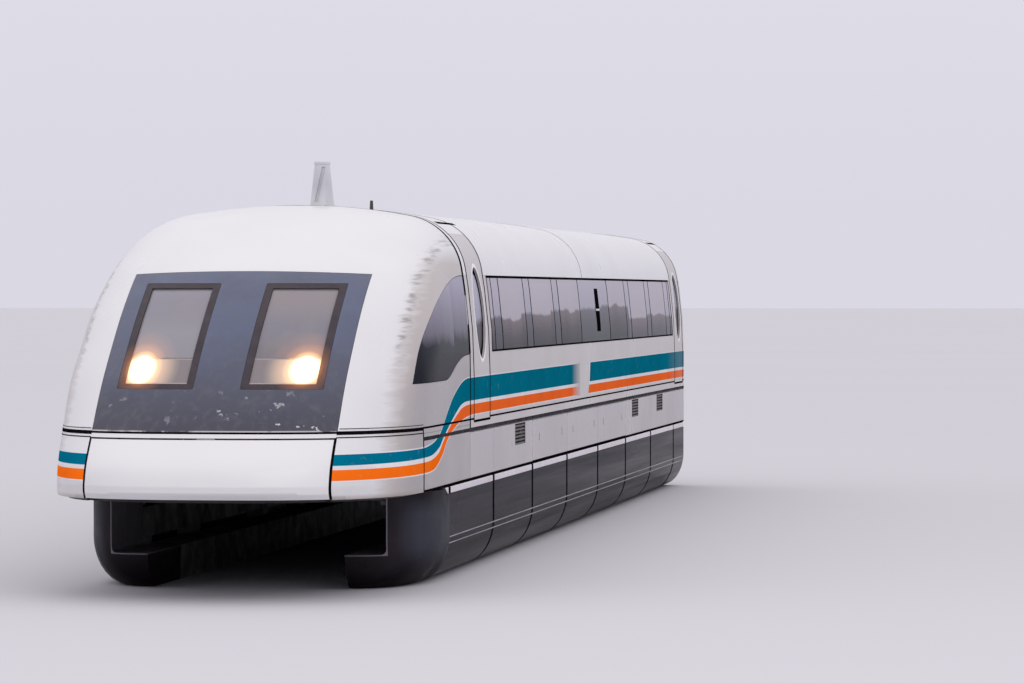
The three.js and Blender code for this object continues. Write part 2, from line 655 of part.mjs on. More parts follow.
// Rounded fairing at the front end of each skirt, with the guideway slot cut through it.
function buildFairings() {
  const heights = [0, 20, 60, 120, 200, 300, 400, SKIRT_ROUND_HEIGHT, NOSE_PAN_BOTTOM - HAIRLINE];
  const rear = FIRST_MODULE - HAIRLINE;
  const steps = 10;
  for (const [side, word] of [[1, 'left'], [-1, 'right']]) {
    const rings = heights.map((height) => {
      const inset = skirtInset(height);
      const ring = [];
      for (let i = 0; i <= steps; i += 1) {
        const angle = Math.PI / 2 * i / steps;
        const across = (HALF_WIDTH - inset - ARM_INNER) * Math.sin(angle) ** (2 / FAIRING_ROUNDNESS);
        const along = (rear - FAIRING_FRONT - inset) * Math.max(Math.cos(angle), 0) ** (2 / FAIRING_ROUNDNESS);
        ring.push([side * (ARM_INNER + across), rear - along, height]);
      }
      ring.push([side * ARM_INNER, rear, height]);
      return side > 0 ? ring : ring.reverse();
    });
    const outline = new THREE.Shape();
    outline.moveTo(0, SLOT_FLOOR);
    outline.lineTo(SLOT_WALL - SLOT_CORNER, SLOT_FLOOR);
    outline.absarc(SLOT_WALL - SLOT_CORNER, SLOT_FLOOR + SLOT_CORNER, SLOT_CORNER, -Math.PI / 2, 0, false);
    outline.lineTo(SLOT_WALL, 2000);
    outline.lineTo(0, 2000);
    const mirrored = new THREE.Shape(outline.getPoints(6).map((point) => new THREE.Vector2(side * point.x, point.y)));
    const slot = toSolid(alongCar(mirrored, -12000, -9000));
    const step = box(0, side * 2000, PAN_STEP - HAIRLINE, -9000, PAN_BOTTOM - HAIRLINE, 2000);
    addPiece(`skirt_fairing_${word}`, loft(rings).subtract(slot).subtract(step), 'dark');
  }
}

// Frames over the guideway with arms that reach down and carry the magnets.
function buildFrames() {
  const frameCount = 4;
  const beamTop = PAN_BOTTOM - HAIRLINE;
  const beamBottom = 830;
  for (let i = 0; i < frameCount; i += 1) {
    const middle = moduleJoint(2 * i) + MODULE_LENGTH / 2;
    let frame = box(-1300, -1100, middle - 1350, middle + 1350, beamBottom, beamTop);
    frame = frame.add(box(1100, 1300, middle - 1350, middle + 1350, beamBottom, beamTop));
    for (const y of [middle - 1200, middle + 1200]) {
      frame = frame.add(box(-1780, 1780, y - 150, y + 150, beamBottom, beamTop));
      for (const side of [-1, 1]) {
        frame = frame.add(box(side * 1515.5, side * 1780, y - 150, y + 150, 430, beamTop));
        frame = frame.add(box(side * 1440.5, side * 1640, y - 150, y + 150, 120, 429));
        frame = frame.add(box(side * 1530, side * 1640, y - 150, y + 150, 400, 500));
        frame = frame.add(box(side * 1100, side * 1200, y - 250, y + 250, SLOT_TOP + 8, beamBottom));
      }
    }
    addPiece(`levitation_frame_${i + 1}`, frame, 'grey');
  }
}

// Levitation magnets under the guideway's edge and guidance magnets beside it.
function buildMagnets() {
  const end = BODY_REAR;
  for (const [side, word] of [[1, 'left'], [-1, 'right']]) {
    let levitation = box(side * ARM_INNER, side * 1440, FIRST_MODULE, end, 0, SLOT_FLOOR);
    let guidance = box(side * SLOT_WALL, side * 1515, FIRST_MODULE, end, 430, 750);
    for (let i = 1; i <= MODULE_COUNT; i += 1) {
      const y = moduleJoint(i);
      levitation = levitation.subtract(box(side * 900, side * 1500, y - 20, y + 20, 120, 500));
      guidance = guidance.subtract(box(side * 1300, side * 1470, y - 20, y + 20, 300, 900));
    }
    addPiece(`levitation_magnets_${word}`, levitation, 'steel');
    addPiece(`guidance_magnets_${word}`, guidance, 'steel');
  }
}

// Tapered white aerial and a small black one on the roof.
function buildAerials() {
  const roofFlat = CROWN_ARC.z + CROWN_ARC.radius * Math.sin(THREE.MathUtils.degToRad(CROWN_ARC.to)) + HAIRLINE;
  // columns: radius, height
  const profile = [[0, 0], [190, 0], [190, 12], [138, 26], [86, 474], [93, 480], [93, 509], [0, 509]];
  const base = new THREE.LatheGeometry(profile.map(([radius, height]) => new THREE.Vector2(radius, height)), 24);
  base.rotateX(Math.PI / 2);
  base.translate(0, -7110, roofFlat);
  addPiece('aerial', toSolid(base), 'white');
  const small = new THREE.CylinderGeometry(18, 27, SMALL_AERIAL_HEIGHT, 16);
  small.rotateX(Math.PI / 2);
  small.translate(0, -4010, roofFlat + SMALL_AERIAL_HEIGHT / 2);
  addPiece('small_aerial', toSolid(small), 'black');
}

// Driver's desk and seats, the cab's rear bulkhead and the coupler behind the nose flap.
function buildCab() {
  const desk = new THREE.Shape();
  desk.moveTo(-11350, FLOOR_TOP + HAIRLINE);
  desk.lineTo(-10750, FLOOR_TOP + HAIRLINE);
  desk.lineTo(-10500, 2280);
  desk.lineTo(-11000, 2420);
  desk.lineTo(-11350, 2420);
  addPiece('driver_desk', roomFill.intersect(toSolid(acrossCar(desk, -1300, 1300))), 'dark');

  let seats = box(-900, 900, -9700, -9300, FLOOR_TOP + HAIRLINE, FLOOR_TOP + 60);
  for (const x of [-550, 550]) {
    seats = seats.add(box(x - 80, x + 80, -9600, -9400, FLOOR_TOP + 30, 2000));
    seats = seats.add(box(x - 270, x + 270, -9800, -9260, 1990, 2130));
    seats = seats.add(box(x - 260, x + 260, -9330, -9180, 2100, 2900));
  }
  addPiece('driver_seats', seats, 'cloth');

  const slab = box(-2000, 2000, -8450, -8400, FLOOR_TOP + HAIRLINE, 4000);
  addPiece('cab_bulkhead', roomFill.intersect(slab).subtract(box(-400, 400, -9000, -8000, 1000, 3550)), 'grey');

  const shaft = new THREE.CylinderGeometry(90, 90, 900, 24);
  shaft.translate(0, -12500, 1290);
  let coupler = toSolid(shaft);
  coupler = coupler.add(box(-230, 230, -13020, -12900, 1120, 1460));
  coupler = coupler.add(box(-300, 300, -12300, -12000, PAN_TOP + HAIRLINE, 1400));
  addPiece('emergency_coupler', coupler, 'dark');
}

// Rows of double seats on both sides of the aisle, on one plinth each.
function buildPassengerSeats() {
  const pitch = 980;
  const rows = 18;
  const first = -6500;
  for (const [side, word] of [[1, 'left'], [-1, 'right']]) {
    let seats = box(side * 900, side * 1300, first, first + (rows - 1) * pitch + 400, FLOOR_TOP + HAIRLINE, FLOOR_TOP + 40);
    for (let i = 0; i < rows; i += 1) {
      const y = first + i * pitch;
      seats = seats.add(box(side * 950, side * 1250, y, y + 350, FLOOR_TOP + 20, 1960));
      seats = seats.add(box(side * 560, side * 1640, y - 60, y + 420, 1950, 2080));
      seats = seats.add(box(side * 570, side * 1630, y + 380, y + 500, 2000, 2780));
    }
    addPiece(`passenger_seats_${word}`, seats, 'cloth');
  }
}

buildNose();
buildCabGlass();
buildWalls();
buildRoof();
buildDoors();
buildBayFlaps();
buildFloors();
buildRear();
buildSkirts();
buildFairings();
buildFrames();
buildMagnets();
buildAerials();
buildCab();
buildPassengerSeats();

export default train;
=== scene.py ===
import json
import math

import bpy
import numpy as np
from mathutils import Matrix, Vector

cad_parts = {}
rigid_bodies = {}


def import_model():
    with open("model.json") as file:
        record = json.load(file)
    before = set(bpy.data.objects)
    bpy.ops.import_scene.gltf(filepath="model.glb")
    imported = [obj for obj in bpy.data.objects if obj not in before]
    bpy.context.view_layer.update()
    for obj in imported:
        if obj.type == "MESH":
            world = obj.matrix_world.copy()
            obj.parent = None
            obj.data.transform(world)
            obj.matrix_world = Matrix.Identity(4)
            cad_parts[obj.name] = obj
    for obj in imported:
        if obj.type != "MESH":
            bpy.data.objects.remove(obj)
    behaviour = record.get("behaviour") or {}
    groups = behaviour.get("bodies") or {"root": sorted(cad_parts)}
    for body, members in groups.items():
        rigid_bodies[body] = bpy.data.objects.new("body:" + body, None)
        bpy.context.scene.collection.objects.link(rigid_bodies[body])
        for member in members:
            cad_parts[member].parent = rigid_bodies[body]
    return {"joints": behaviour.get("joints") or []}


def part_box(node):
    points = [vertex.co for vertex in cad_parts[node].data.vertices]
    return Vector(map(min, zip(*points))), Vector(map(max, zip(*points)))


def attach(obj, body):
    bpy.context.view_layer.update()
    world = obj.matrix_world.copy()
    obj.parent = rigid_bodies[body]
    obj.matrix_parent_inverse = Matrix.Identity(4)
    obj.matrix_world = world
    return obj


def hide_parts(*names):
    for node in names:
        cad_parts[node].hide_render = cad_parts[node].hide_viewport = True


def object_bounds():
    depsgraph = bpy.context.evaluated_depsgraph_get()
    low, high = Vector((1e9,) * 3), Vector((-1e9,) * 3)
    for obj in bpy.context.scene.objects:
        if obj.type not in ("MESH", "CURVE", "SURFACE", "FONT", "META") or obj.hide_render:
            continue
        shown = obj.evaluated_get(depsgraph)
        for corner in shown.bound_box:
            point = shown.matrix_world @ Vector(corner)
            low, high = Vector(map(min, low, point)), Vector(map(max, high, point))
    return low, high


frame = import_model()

cad_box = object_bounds()
bpy.ops.object.select_all(action="DESELECT")


# Camera and studio
# A long lens far in front of the nose, a little above it and to the car's left, as the photograph was taken.
# The floor is pale and plain, and the light is an even grey sky with a soft lamp over the nose.
CAMERA_PLACE = (9.07, -54.762, 3.007)
CAMERA_DOWN = math.radians(0.635)
CAMERA_LEFT = math.radians(8.293)
CAMERA_LENS = 153.74
SKY_LOW = (0.70, 0.69, 0.77)
SKY_HIGH = (1.12, 1.10, 1.12)
FLOOR_SIZE = 1600.0

bpy.ops.object.camera_add(location=CAMERA_PLACE, rotation=(math.pi / 2 - CAMERA_DOWN, 0, CAMERA_LEFT))
camera = bpy.context.object
camera.data.lens = CAMERA_LENS
camera.data.sensor_width = 36
camera.data.clip_end = 3000
bpy.context.scene.camera = camera


class Patterns:
    """Nodes added to one node tree: of a material, or of the sky."""

    def __init__(self, tree):
        self.tree = tree

    def node(self, kind, **settings):
        """A node with its settings and its unlinked inputs given by name."""
        made = self.tree.nodes.new(kind)
        for key, value in settings.items():
            if key in made.inputs:
                made.inputs[key].default_value = value
            else:
                setattr(made, key, value)
        return made

    def link(self, output, node, socket):
        self.tree.links.new(output, node.inputs[socket])

    def feed(self, node, socket, value):
        """Links an output to a socket, or sets a plain number or colour on it."""
        if isinstance(value, (int, float)):
            node.inputs[socket].default_value = value
        elif isinstance(value, tuple):
            node.inputs[socket].default_value = (*value, 1)
        else:
            self.link(value, node, socket)

    def coords(self, stretch=(1, 1, 1)):
        """Object coordinates, stretched so that a pattern runs along or up the piece."""
        place = self.node("ShaderNodeTexCoord")
        mapping = self.node("ShaderNodeMapping")
        mapping.inputs["Scale"].default_value = stretch
        self.link(place.outputs["Object"], mapping, "Vector")
        return mapping.outputs["Vector"]

    def axis(self, letter):
        """One Object coordinate, X, Y or Z, in metres."""
        split = self.node("ShaderNodeSeparateXYZ")
        self.link(self.coords(), split, "Vector")
        return split.outputs[letter]

    def noise(self, scale, detail=4.0, stretch=(1, 1, 1)):
        texture = self.node("ShaderNodeTexNoise", Scale=scale, Detail=detail, Roughness=0.55)
        self.link(self.coords(stretch), texture, "Vector")
        return texture.outputs["Fac"]

    def ramp(self, value, stops):
        """A colour ramp over a value; stops are (place, colour)."""
        made = self.node("ShaderNodeValToRGB")
        elements = made.color_ramp.elements
        while len(elements) < len(stops):
            elements.new(0.5)
        for element, (place, colour) in zip(elements, stops):
            element.position = place
            element.color = (*colour, 1)
        self.link(value, made, "Fac")
        return made.outputs["Color"]

    def fade(self, value, low, high, start=0.0, end=1.0):
        """Carries a value from low..high onto start..end, held at both ends."""
        made = self.node("ShaderNodeMapRange", clamp=True)
        for socket, number in (("From Min", low), ("From Max", high), ("To Min", start), ("To Max", end)):
            made.inputs[socket].default_value = number
        self.link(value, made, "Value")
        return made.outputs["Result"]

    def math(self, operation, first, second=0):
        made = self.node("ShaderNodeMath", operation=operation)
        self.feed(made, 0, first)
        self.feed(made, 1, second)
        return made.outputs[0]

    def times(self, first, second):
        return self.math("MULTIPLY", first, second)

    def plus(self, first, second):
        return self.math("ADD", first, second)

    def blend(self, factor, first, second):
        """Mixes two colours, each a colour or an output, by a factor."""
        made = self.node("ShaderNodeMix", data_type="RGBA", blend_type="MIX")
        for socket, value in ((0, factor), (6, first), (7, second)):
            self.feed(made, socket, value)
        return made.outputs[2]


class Finish(Patterns):
    """A principled material whose plain numbers are set on the shader's own sockets."""

    def __init__(self, name, **inputs):
        self.material = bpy.data.materials.new(name)
        self.material.use_nodes = True
        super().__init__(self.material.node_tree)
        self.shader = self.tree.nodes["Principled BSDF"]
        for socket, value in inputs.items():
            self.shader.inputs[socket.replace("_", " ")].default_value = value

    def colour(self, tone):
        self.link(tone, self.shader, "Base Color")

    def roughness(self, value):
        self.link(value, self.shader, "Roughness")

    def uneven(self, low, high, scale, detail=4.0):
        """Roughness that wanders between two values."""
        self.roughness(self.fade(self.noise(scale, detail), 0.3, 0.7, low, high))

    def mottle(self, scale, first, second, detail=4.0, stretch=(1, 1, 1), spread=(0.3, 0.7)):
        """A colour that wanders between two tones."""
        self.colour(self.ramp(self.noise(scale, detail, stretch),
                              [(spread[0], first), (spread[1], second)]))

    def bump(self, height, distance, strength=1.0):
        made = self.node("ShaderNodeBump", Distance=distance, Strength=strength)
        self.link(height, made, "Height")
        self.link(made.outputs["Normal"], self.shader, "Normal")


def dress(obj, finish):
    """Gives a piece, or a CAD node, one material on every slot."""
    if not obj.material_slots:
        obj.data.materials.append(finish.material)
    for slot in obj.material_slots:
        slot.material = finish.material
    return obj


floor_paint = Finish("studio_floor", Roughness=0.9)
floor_tone = floor_paint.ramp(floor_paint.noise(0.05, 1.0),
                              [(0.3, (0.575, 0.565, 0.605)), (0.7, (0.585, 0.575, 0.615))])
floor_paint.colour(floor_tone)
bpy.ops.mesh.primitive_plane_add(size=FLOOR_SIZE, location=(0, 0, -0.002))
floor = bpy.context.object
floor.name = "studio_floor"
dress(floor, floor_paint)

world = bpy.data.worlds.new("studio_sky")
bpy.context.scene.world = world
world.use_nodes = True
sky = Patterns(world.node_tree)
direction = sky.node("ShaderNodeTexCoord")
upwards = sky.node("ShaderNodeSeparateXYZ")
sky.link(direction.outputs["Generated"], upwards, "Vector")
sky_tone = sky.ramp(upwards.outputs["Z"], [(0.02, SKY_LOW), (0.7, SKY_HIGH)])
sky.link(sky_tone, sky.tree.nodes["Background"], "Color")
bpy.context.scene.view_settings.view_transform = "Standard"

bpy.ops.object.light_add(type="AREA", location=(16, -36, 28))
lamp = bpy.context.object
lamp.data.shape = "RECTANGLE"
lamp.data.size = 26
lamp.data.size_y = 18
lamp.data.energy = 1800
lamp.data.color = (1.0, 0.98, 0.96)
lamp.rotation_euler = (Vector((0, -6, 2)) - Vector(lamp.location)).to_track_quat("-Z", "Y").to_euler()


# White nose shell
# A glass-fibre and aluminium sandwich shell, bolted to the car's frame and painted white.
# Its outline narrows round a long sloped nose, and the mask, flap and cab windows are let into it.
BODY_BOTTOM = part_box("side_wall_left")[0].z
HALF_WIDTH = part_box("side_wall_left")[1].x
BODY_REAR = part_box("side_wall_left")[1].y
CAB_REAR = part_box("nose_shell")[1].y
WALL_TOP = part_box("side_wall_left")[1].z
NOSE_TIP = cad_box[0].y
WALL = 0.118
PAINT_DEPTH = 0.002
NOSE_ROUNDNESS = 2.8
# Side section: a straight wall and three arcs; each has its centre, radius and end angle in degrees
SIDE_ARC = {"x": -4.950, "z": 2.130, "radius": 6.800, "end": 9.74}
CORNER_ARC = {"x": 1.0741, "z": 3.1636, "radius": 0.6878, "end": 79.0}
CROWN_ARC = {"x": 0.0, "z": -2.362, "radius": 6.317, "end": 90.0}
# Nose outline at some heights; columns: height, tip, shoulder
NOSE_LEVELS = np.array([
    (1.000, -13.430, -10.723),
    (1.070, -13.488, -10.723),
    (1.130, -13.495, -10.723),
    (1.330, -13.400, -10.717),
    (1.630, -13.115, -10.657),
    (2.080, -12.666, -10.487),
    (2.480, -12.208, -10.022),
    (2.830, -11.740, -9.720),
    (3.200, -11.160, -9.094),
    (3.430, -10.634, -8.636),
    (3.630, -10.111, -8.424),
    (3.780, -9.593, -8.330),
    (3.880, -9.150, -8.330),
    (3.935, -8.760, -8.330),
    (3.955, -8.340, -8.330),
])
SEAM = 0.008
MASK_HALF_WIDTH = 1.230
MASK_BOTTOM = 1.633
MASK_TOP = 3.200
MASK_ARCH = 0.030
BROW_BOTTOM = 1.592
FLAP_OPENING = 1.216
CHIN_SEAM = -11.303
LEDGE_SEAM = 1.648
NOSE_SEAM = 1.634
SCORE_DEPTH = 0.012


def smooth_curve(places, values, at):
    """The value at a place, on a smooth curve through points in rising order."""
    last = len(places) - 1
    before = np.maximum(np.arange(last + 1) - 1, 0)
    after = np.minimum(np.arange(last + 1) + 1, last)
    slopes = (values[after] - values[before]) / (places[after] - places[before])
    at = np.clip(at, places[0], places[-1])
    i = np.clip(np.searchsorted(places, at, side="right") - 1, 0, last - 1)
    span = places[i + 1] - places[i]
    t = (at - places[i]) / span
    return ((2 * t**3 - 3 * t**2 + 1) * values[i] + (t**3 - 2 * t**2 + t) * span * slopes[i]
            + (3 * t**2 - 2 * t**3) * values[i + 1] + (t**3 - t**2) * span * slopes[i + 1])


def nose_value(column, height):
    """The tip or the shoulder of the outline at a height."""
    return smooth_curve(NOSE_LEVELS[:, 0], NOSE_LEVELS[:, column], height)


def half_width(height, inset=0.0):
    """Half the body's width at a height, set in from its surface."""
    z = np.asarray(height, float)
    reach = [arc["x"] + np.sqrt(np.maximum((arc["radius"] - inset)**2 - (z - arc["z"])**2, 0))
             for arc in (SIDE_ARC, CORNER_ARC, CROWN_ARC)]
    side_end, corner_end = [arc["z"] + (arc["radius"] - inset) * math.sin(math.radians(arc["end"]))
                            for arc in (SIDE_ARC, CORNER_ARC)]
    upper = np.where(z < corner_end, reach[1], reach[2])
    return np.where(z < SIDE_ARC["z"], HALF_WIDTH - inset, np.where(z < side_end, reach[0], upper))


def section_heights(wall_steps, side_steps, corner_steps, crown_steps, bottom, inset=0.0):
    """Heights up the section from the bottom to the middle of the crown, closer where it bends more."""
    heights = list(np.linspace(bottom, SIDE_ARC["z"], wall_steps, endpoint=False))
    start = 0.0
    for arc, steps in ((SIDE_ARC, side_steps), (CORNER_ARC, corner_steps), (CROWN_ARC, crown_steps)):
        angles = np.radians(np.linspace(start, arc["end"], steps, endpoint=arc is CROWN_ARC))
        heights += list(arc["z"] + (arc["radius"] - inset) * np.sin(angles))
        start = arc["end"]
    return np.array(heights)


def outline_values(height, inset):
    half = half_width(height, inset)
    tip = np.maximum(nose_value(1, height + 0.8 * inset), NOSE_TIP) + 0.7 * inset
    shoulder = nose_value(2, height + 0.8 * inset)
    return half, tip, np.maximum(shoulder, tip + 0.01)


def round_nose(turn, height, inset):
    """A point of the outline by its angle, from 0 at the left shoulder over 90 at the tip to 180."""
    half, tip, shoulder = outline_values(height, inset)
    across = np.sign(np.cos(turn)) * np.abs(np.cos(turn))**(2 / NOSE_ROUNDNESS)
    along = np.maximum(np.sin(turn), 0)**(2 / NOSE_ROUNDNESS)
    return half * across, shoulder - (shoulder - tip) * along


def on_front(x, height, inset):
    """How far forward the nose lies behind a point drawn from the front."""
    half, tip, shoulder = outline_values(height, inset)
    part = np.clip(np.abs(x) / half, 0, 0.999)
    return shoulder - (shoulder - tip) * (1 - part**NOSE_ROUNDNESS)**(1 / NOSE_ROUNDNESS)


def on_side(y, height, inset):
    """How far out the body lies behind a point drawn from the side."""
    half, tip, shoulder = outline_values(height, inset)
    part = np.clip((shoulder - y) / (shoulder - tip), 0, 0.995)
    return half * (1 - part**NOSE_ROUNDNESS)**(1 / NOSE_ROUNDNESS)


def body_normals(points):
    """Outward normals of the body's surface at an array of points."""
    x, y, z = points.T

    def level(height):
        half, tip, shoulder = outline_values(height, 0.0)
        half = np.maximum(half, 0.02)
        ahead = np.maximum(shoulder - y, 0) / (shoulder - tip)
        return (np.abs(x) / half)**NOSE_ROUNDNESS + ahead**NOSE_ROUNDNESS, half, shoulder, tip

    step = 0.002
    half, shoulder, tip = level(np.minimum(z, 3.950))[1:]
    higher = level(np.minimum(z + step, 3.953))[0]
    lower = level(np.minimum(z - step, 3.947))[0]
    power = NOSE_ROUNDNESS - 1
    normal_x = np.sign(x) * NOSE_ROUNDNESS * np.abs(x)**power / half**NOSE_ROUNDNESS
    ahead = np.maximum(shoulder - y, 0)
    normal_y = -NOSE_ROUNDNESS * ahead**power / (shoulder - tip)**NOSE_ROUNDNESS
    normal_z = np.maximum((higher - lower) / (2 * step), 0)
    normals = np.stack([normal_x, normal_y, normal_z], axis=1)
    return normals / np.linalg.norm(normals, axis=1, keepdims=True)


def pick(obj):
    """Makes one object the only selected and the active one."""
    bpy.ops.object.select_all(action="DESELECT")
    obj.select_set(True)
    bpy.context.view_layer.objects.active = obj
    return obj


def apply_modifier(obj, kind, **settings):
    pick(obj)
    modifier = obj.modifiers.new(kind.lower(), kind)
    for key, value in settings.items():
        setattr(modifier, key, value)
    bpy.ops.object.modifier_apply(modifier=modifier.name)
    return obj


def settle(obj):
    """Puts an object's place, turn and scale into its mesh."""
    pick(obj)
    bpy.ops.object.transform_apply(location=True, rotation=True, scale=True)
    return obj


def edit(obj, *steps):
    """Runs edit-mode operators on the whole mesh; a step is a function."""
    pick(obj)
    bpy.ops.object.mode_set(mode="EDIT")
    bpy.ops.mesh.select_all(action="SELECT")
    for step in steps:
        step()
    bpy.ops.object.mode_set(mode="OBJECT")
    return obj


def face_out():
    bpy.ops.mesh.remove_doubles(threshold=0.00001)
    bpy.ops.mesh.normals_make_consistent(inside=False)


def wrap_grid(name, columns, rows, place, thickness):
    """A grid wrapped onto a surface by place(u, v), then thickened inwards into a closed panel."""
    bpy.ops.mesh.primitive_grid_add(x_subdivisions=columns, y_subdivisions=rows, size=1)
    panel = bpy.context.object
    panel.name = name
    flat = np.zeros(len(panel.data.vertices) * 3)
    panel.data.vertices.foreach_get("co", flat)
    flat = flat.reshape(-1, 3)
    wrapped = np.stack(place(flat[:, 0] + 0.5, flat[:, 1] + 0.5), axis=1)
    panel.data.vertices.foreach_set("co", wrapped.ravel())
    edit(panel, lambda: bpy.ops.mesh.remove_doubles(threshold=0.00002))
    if thickness:
        apply_modifier(panel, "SOLIDIFY", thickness=thickness, offset=-1, use_even_offset=False)
    return panel


def cut_box(x0, x1, y0, y1, z0, z1):
    """A cutter between two corners."""
    bpy.ops.mesh.primitive_cube_add(size=1, location=((x0 + x1) / 2, (y0 + y1) / 2, (z0 + z1) / 2))
    cutter = bpy.context.object
    cutter.scale = (abs(x1 - x0), abs(y1 - y0), abs(z1 - z0))
    return settle(cutter)


def prism(outline, axis, low, high):
    """An outline drawn across the axis X, Y or Z, extruded from low to high into a closed solid."""
    order = {"X": (2, 0, 1), "Y": (0, 2, 1), "Z": (0, 1, 2)}[axis]
    points = []
    for a, b in outline:
        flat = (a, b, low)
        points.append(tuple(flat[order[i]] for i in range(3)))
    mesh = bpy.data.meshes.new("outline")
    mesh.from_pydata(points, [], [list(range(len(points)))])
    solid = bpy.data.objects.new("outline", mesh)
    bpy.context.scene.collection.objects.link(solid)
    reach = {"X": (high - low, 0, 0), "Y": (0, high - low, 0), "Z": (0, 0, high - low)}[axis]
    edit(solid, lambda: bpy.ops.mesh.extrude_region_move(TRANSFORM_OT_translate={"value": reach}),
         lambda: bpy.ops.mesh.select_all(action="SELECT"), face_out)
    return solid


def join(objects, name):
    pick(objects[0])
    for obj in objects:
        obj.select_set(True)
    if len(objects) > 1:
        bpy.ops.object.join()
    joined = bpy.context.object
    joined.name = name
    return joined


def carve(obj, cutters, operation="DIFFERENCE"):
    """Cuts a piece with cutters that don't touch each other, all in one go, and removes them."""
    cutter = join(cutters, "cutter")
    apply_modifier(obj, "BOOLEAN", operation=operation, object=cutter, solver="EXACT")
    bpy.data.objects.remove(cutter)
    return obj


def polish_body(obj):
    """Smooth shading that follows the body's own curve on the outside and stays crisp at the cut edges."""
    mesh = obj.data
    mesh.validate()
    mesh.update()
    count = len(mesh.loops)
    loop_vertex = np.zeros(count, int)
    mesh.loops.foreach_get("vertex_index", loop_vertex)
    coords = np.zeros(len(mesh.vertices) * 3)
    mesh.vertices.foreach_get("co", coords)
    coords = coords.reshape(-1, 3)
    curve = body_normals(coords)[loop_vertex]
    flat = np.zeros((count, 3))
    for face in mesh.polygons:
        flat[face.loop_start:face.loop_start + face.loop_total] = face.normal
    agree = (flat * curve).sum(1)
    inner = agree < -0.9
    chosen = np.where((agree > 0.9)[:, None], curve, np.where(inner[:, None], -curve, flat))
    mesh.polygons.foreach_set("use_smooth", np.ones(len(mesh.polygons), bool))
    mesh.normals_split_custom_set(chosen.tolist())
    return obj


def stand_for(obj, body, slot, *nodes):
    """Rides on a body and stands for CAD nodes. The slot argument is not used."""
    if nodes:
        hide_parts(*nodes)
    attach(obj, body)
    return obj


def fit(obj, finish, slot, *nodes, body="car"):
    """Gives a piece its finish and lets it ride on a body and stand for CAD nodes."""
    return stand_for(dress(obj, finish), body, slot, *nodes)


def fit_skin(obj, finish, slot, *nodes, body="car"):
    """Does the same for a panel that follows the body's curve."""
    return fit(polish_body(obj), finish, slot, *nodes, body=body)


def body_white(name, low_grime=0.55, paint_and_shade=(0.76, 0.75, 0.77), gloss=0.4, soil_and_shade=None):
    """White gloss paint with faint clouds and soft grime near the lower edge; the soil function adds its own
    marks, dirt and painted shade. The tone given as paint for the walls, doors and foot panels is the white
    darkened by painted shade.
    """
    made = Finish(name, Coat_Weight=0.6 * gloss, Coat_Roughness=0.08, Specular_IOR_Level=gloss)
    tone = made.ramp(made.noise(0.4, 3.0), [(0.35, paint_and_shade), (0.65, tuple(0.95 * part for part in paint_and_shade))])
    lowness = made.fade(made.axis("Z"), 1.42, 1.0, 0.0, low_grime)
    patch = made.fade(made.noise(1.6, 4.0, (0.5, 0.5, 2.0)), 0.30, 0.72, 0.25, 1.0)
    tone = made.blend(made.times(lowness, patch), tone, (0.40, 0.36, 0.34))
    if soil_and_shade:
        tone = soil_and_shade(made, tone)
    made.colour(tone)
    made.roughness(made.fade(made.noise(0.9, 3.0), 0.3, 0.8, 0.26, 0.38))
    return made


SOIL_EDGE = 1.615


def nose_soil_and_shade(made, tone):
    """Road dust where the air leaves the nose: beige-grey beyond a ragged, smeared edge along each side; the
    lower sides are also darkened grey as painted shade.
    """
    wide = made.math("ABSOLUTE", made.axis("X"))
    ragged = made.fade(made.noise(3.0, 7.0, (0.4, 0.4, 6.0)), 0.3, 0.7, -0.045, 0.045)
    beyond = made.plus(wide, ragged)
    below_crown = made.fade(made.axis("Z"), 3.50, 3.32)
    dust = made.times(made.fade(beyond, SOIL_EDGE - 0.05, SOIL_EDGE + 0.10), below_crown)
    tone = made.blend(dust, tone, (0.47, 0.425, 0.415))
    # The nose's lower sides turn darker grey: painted shade.
    lower = made.times(made.fade(wide, 1.70, 1.83), made.fade(made.axis("Z"), 2.7, 2.2))
    tone = made.blend(lower, tone, (0.31, 0.285, 0.295))
    at_edge = made.times(made.fade(beyond, SOIL_EDGE - 0.02, SOIL_EDGE + 0.01),
                         made.fade(beyond, SOIL_EDGE + 0.07, SOIL_EDGE + 0.03))
    smeared = made.times(at_edge, made.fade(made.noise(4.0, 8.0, (0.5, 0.5, 6.0)), 0.42, 0.62, 0.0, 0.85))
    high = made.times(smeared, made.fade(made.axis("Z"), 2.15, 2.55))
    tone = made.blend(high, tone, (0.27, 0.26, 0.245))
    return made.blend(made.fade(made.axis("Z"), 1.050, 1.000, 0.0, 0.6), tone, (0.25, 0.19, 0.15))


nose_white = body_white("nose_white", 0.45, (0.72, 0.71, 0.735), 0.3, nose_soil_and_shade)

SIDE_PART = 0.05


def place_nose(u, v):
    """The whole nose from its right rear edge round the tip to its left rear edge, and up to the crown."""
    heights = section_heights(30, 14, 34, 22, BODY_BOTTOM, PAINT_DEPTH)
    z = np.interp(v, np.linspace(0, 1, len(heights)), heights)
    turn = math.pi * (1 - np.clip((u - SIDE_PART) / (1 - 2 * SIDE_PART), 0, 1))
    x, y = round_nose(turn, z, PAINT_DEPTH)
    edge = np.minimum(u, 1 - u)
    rear = CAB_REAR - SEAM / 2
    straight = np.clip((SIDE_PART - edge) / SIDE_PART, 0, 1)
    y = np.where(edge < SIDE_PART, y + (np.maximum(rear, y) - y) * straight, y)
    return x, np.minimum(y, rear), z


def arch(x, half, top):
    """The mask's slightly arched top edge."""
    return top + MASK_ARCH * (1 - (x / half)**2)


def mask_outline(edge):
    half = MASK_HALF_WIDTH - edge
    top = [(x, arch(x, half, MASK_TOP - edge)) for x in np.linspace(half, -half, 25)]
    return [(-half, MASK_BOTTOM + edge), (half, MASK_BOTTOM + edge)] + top


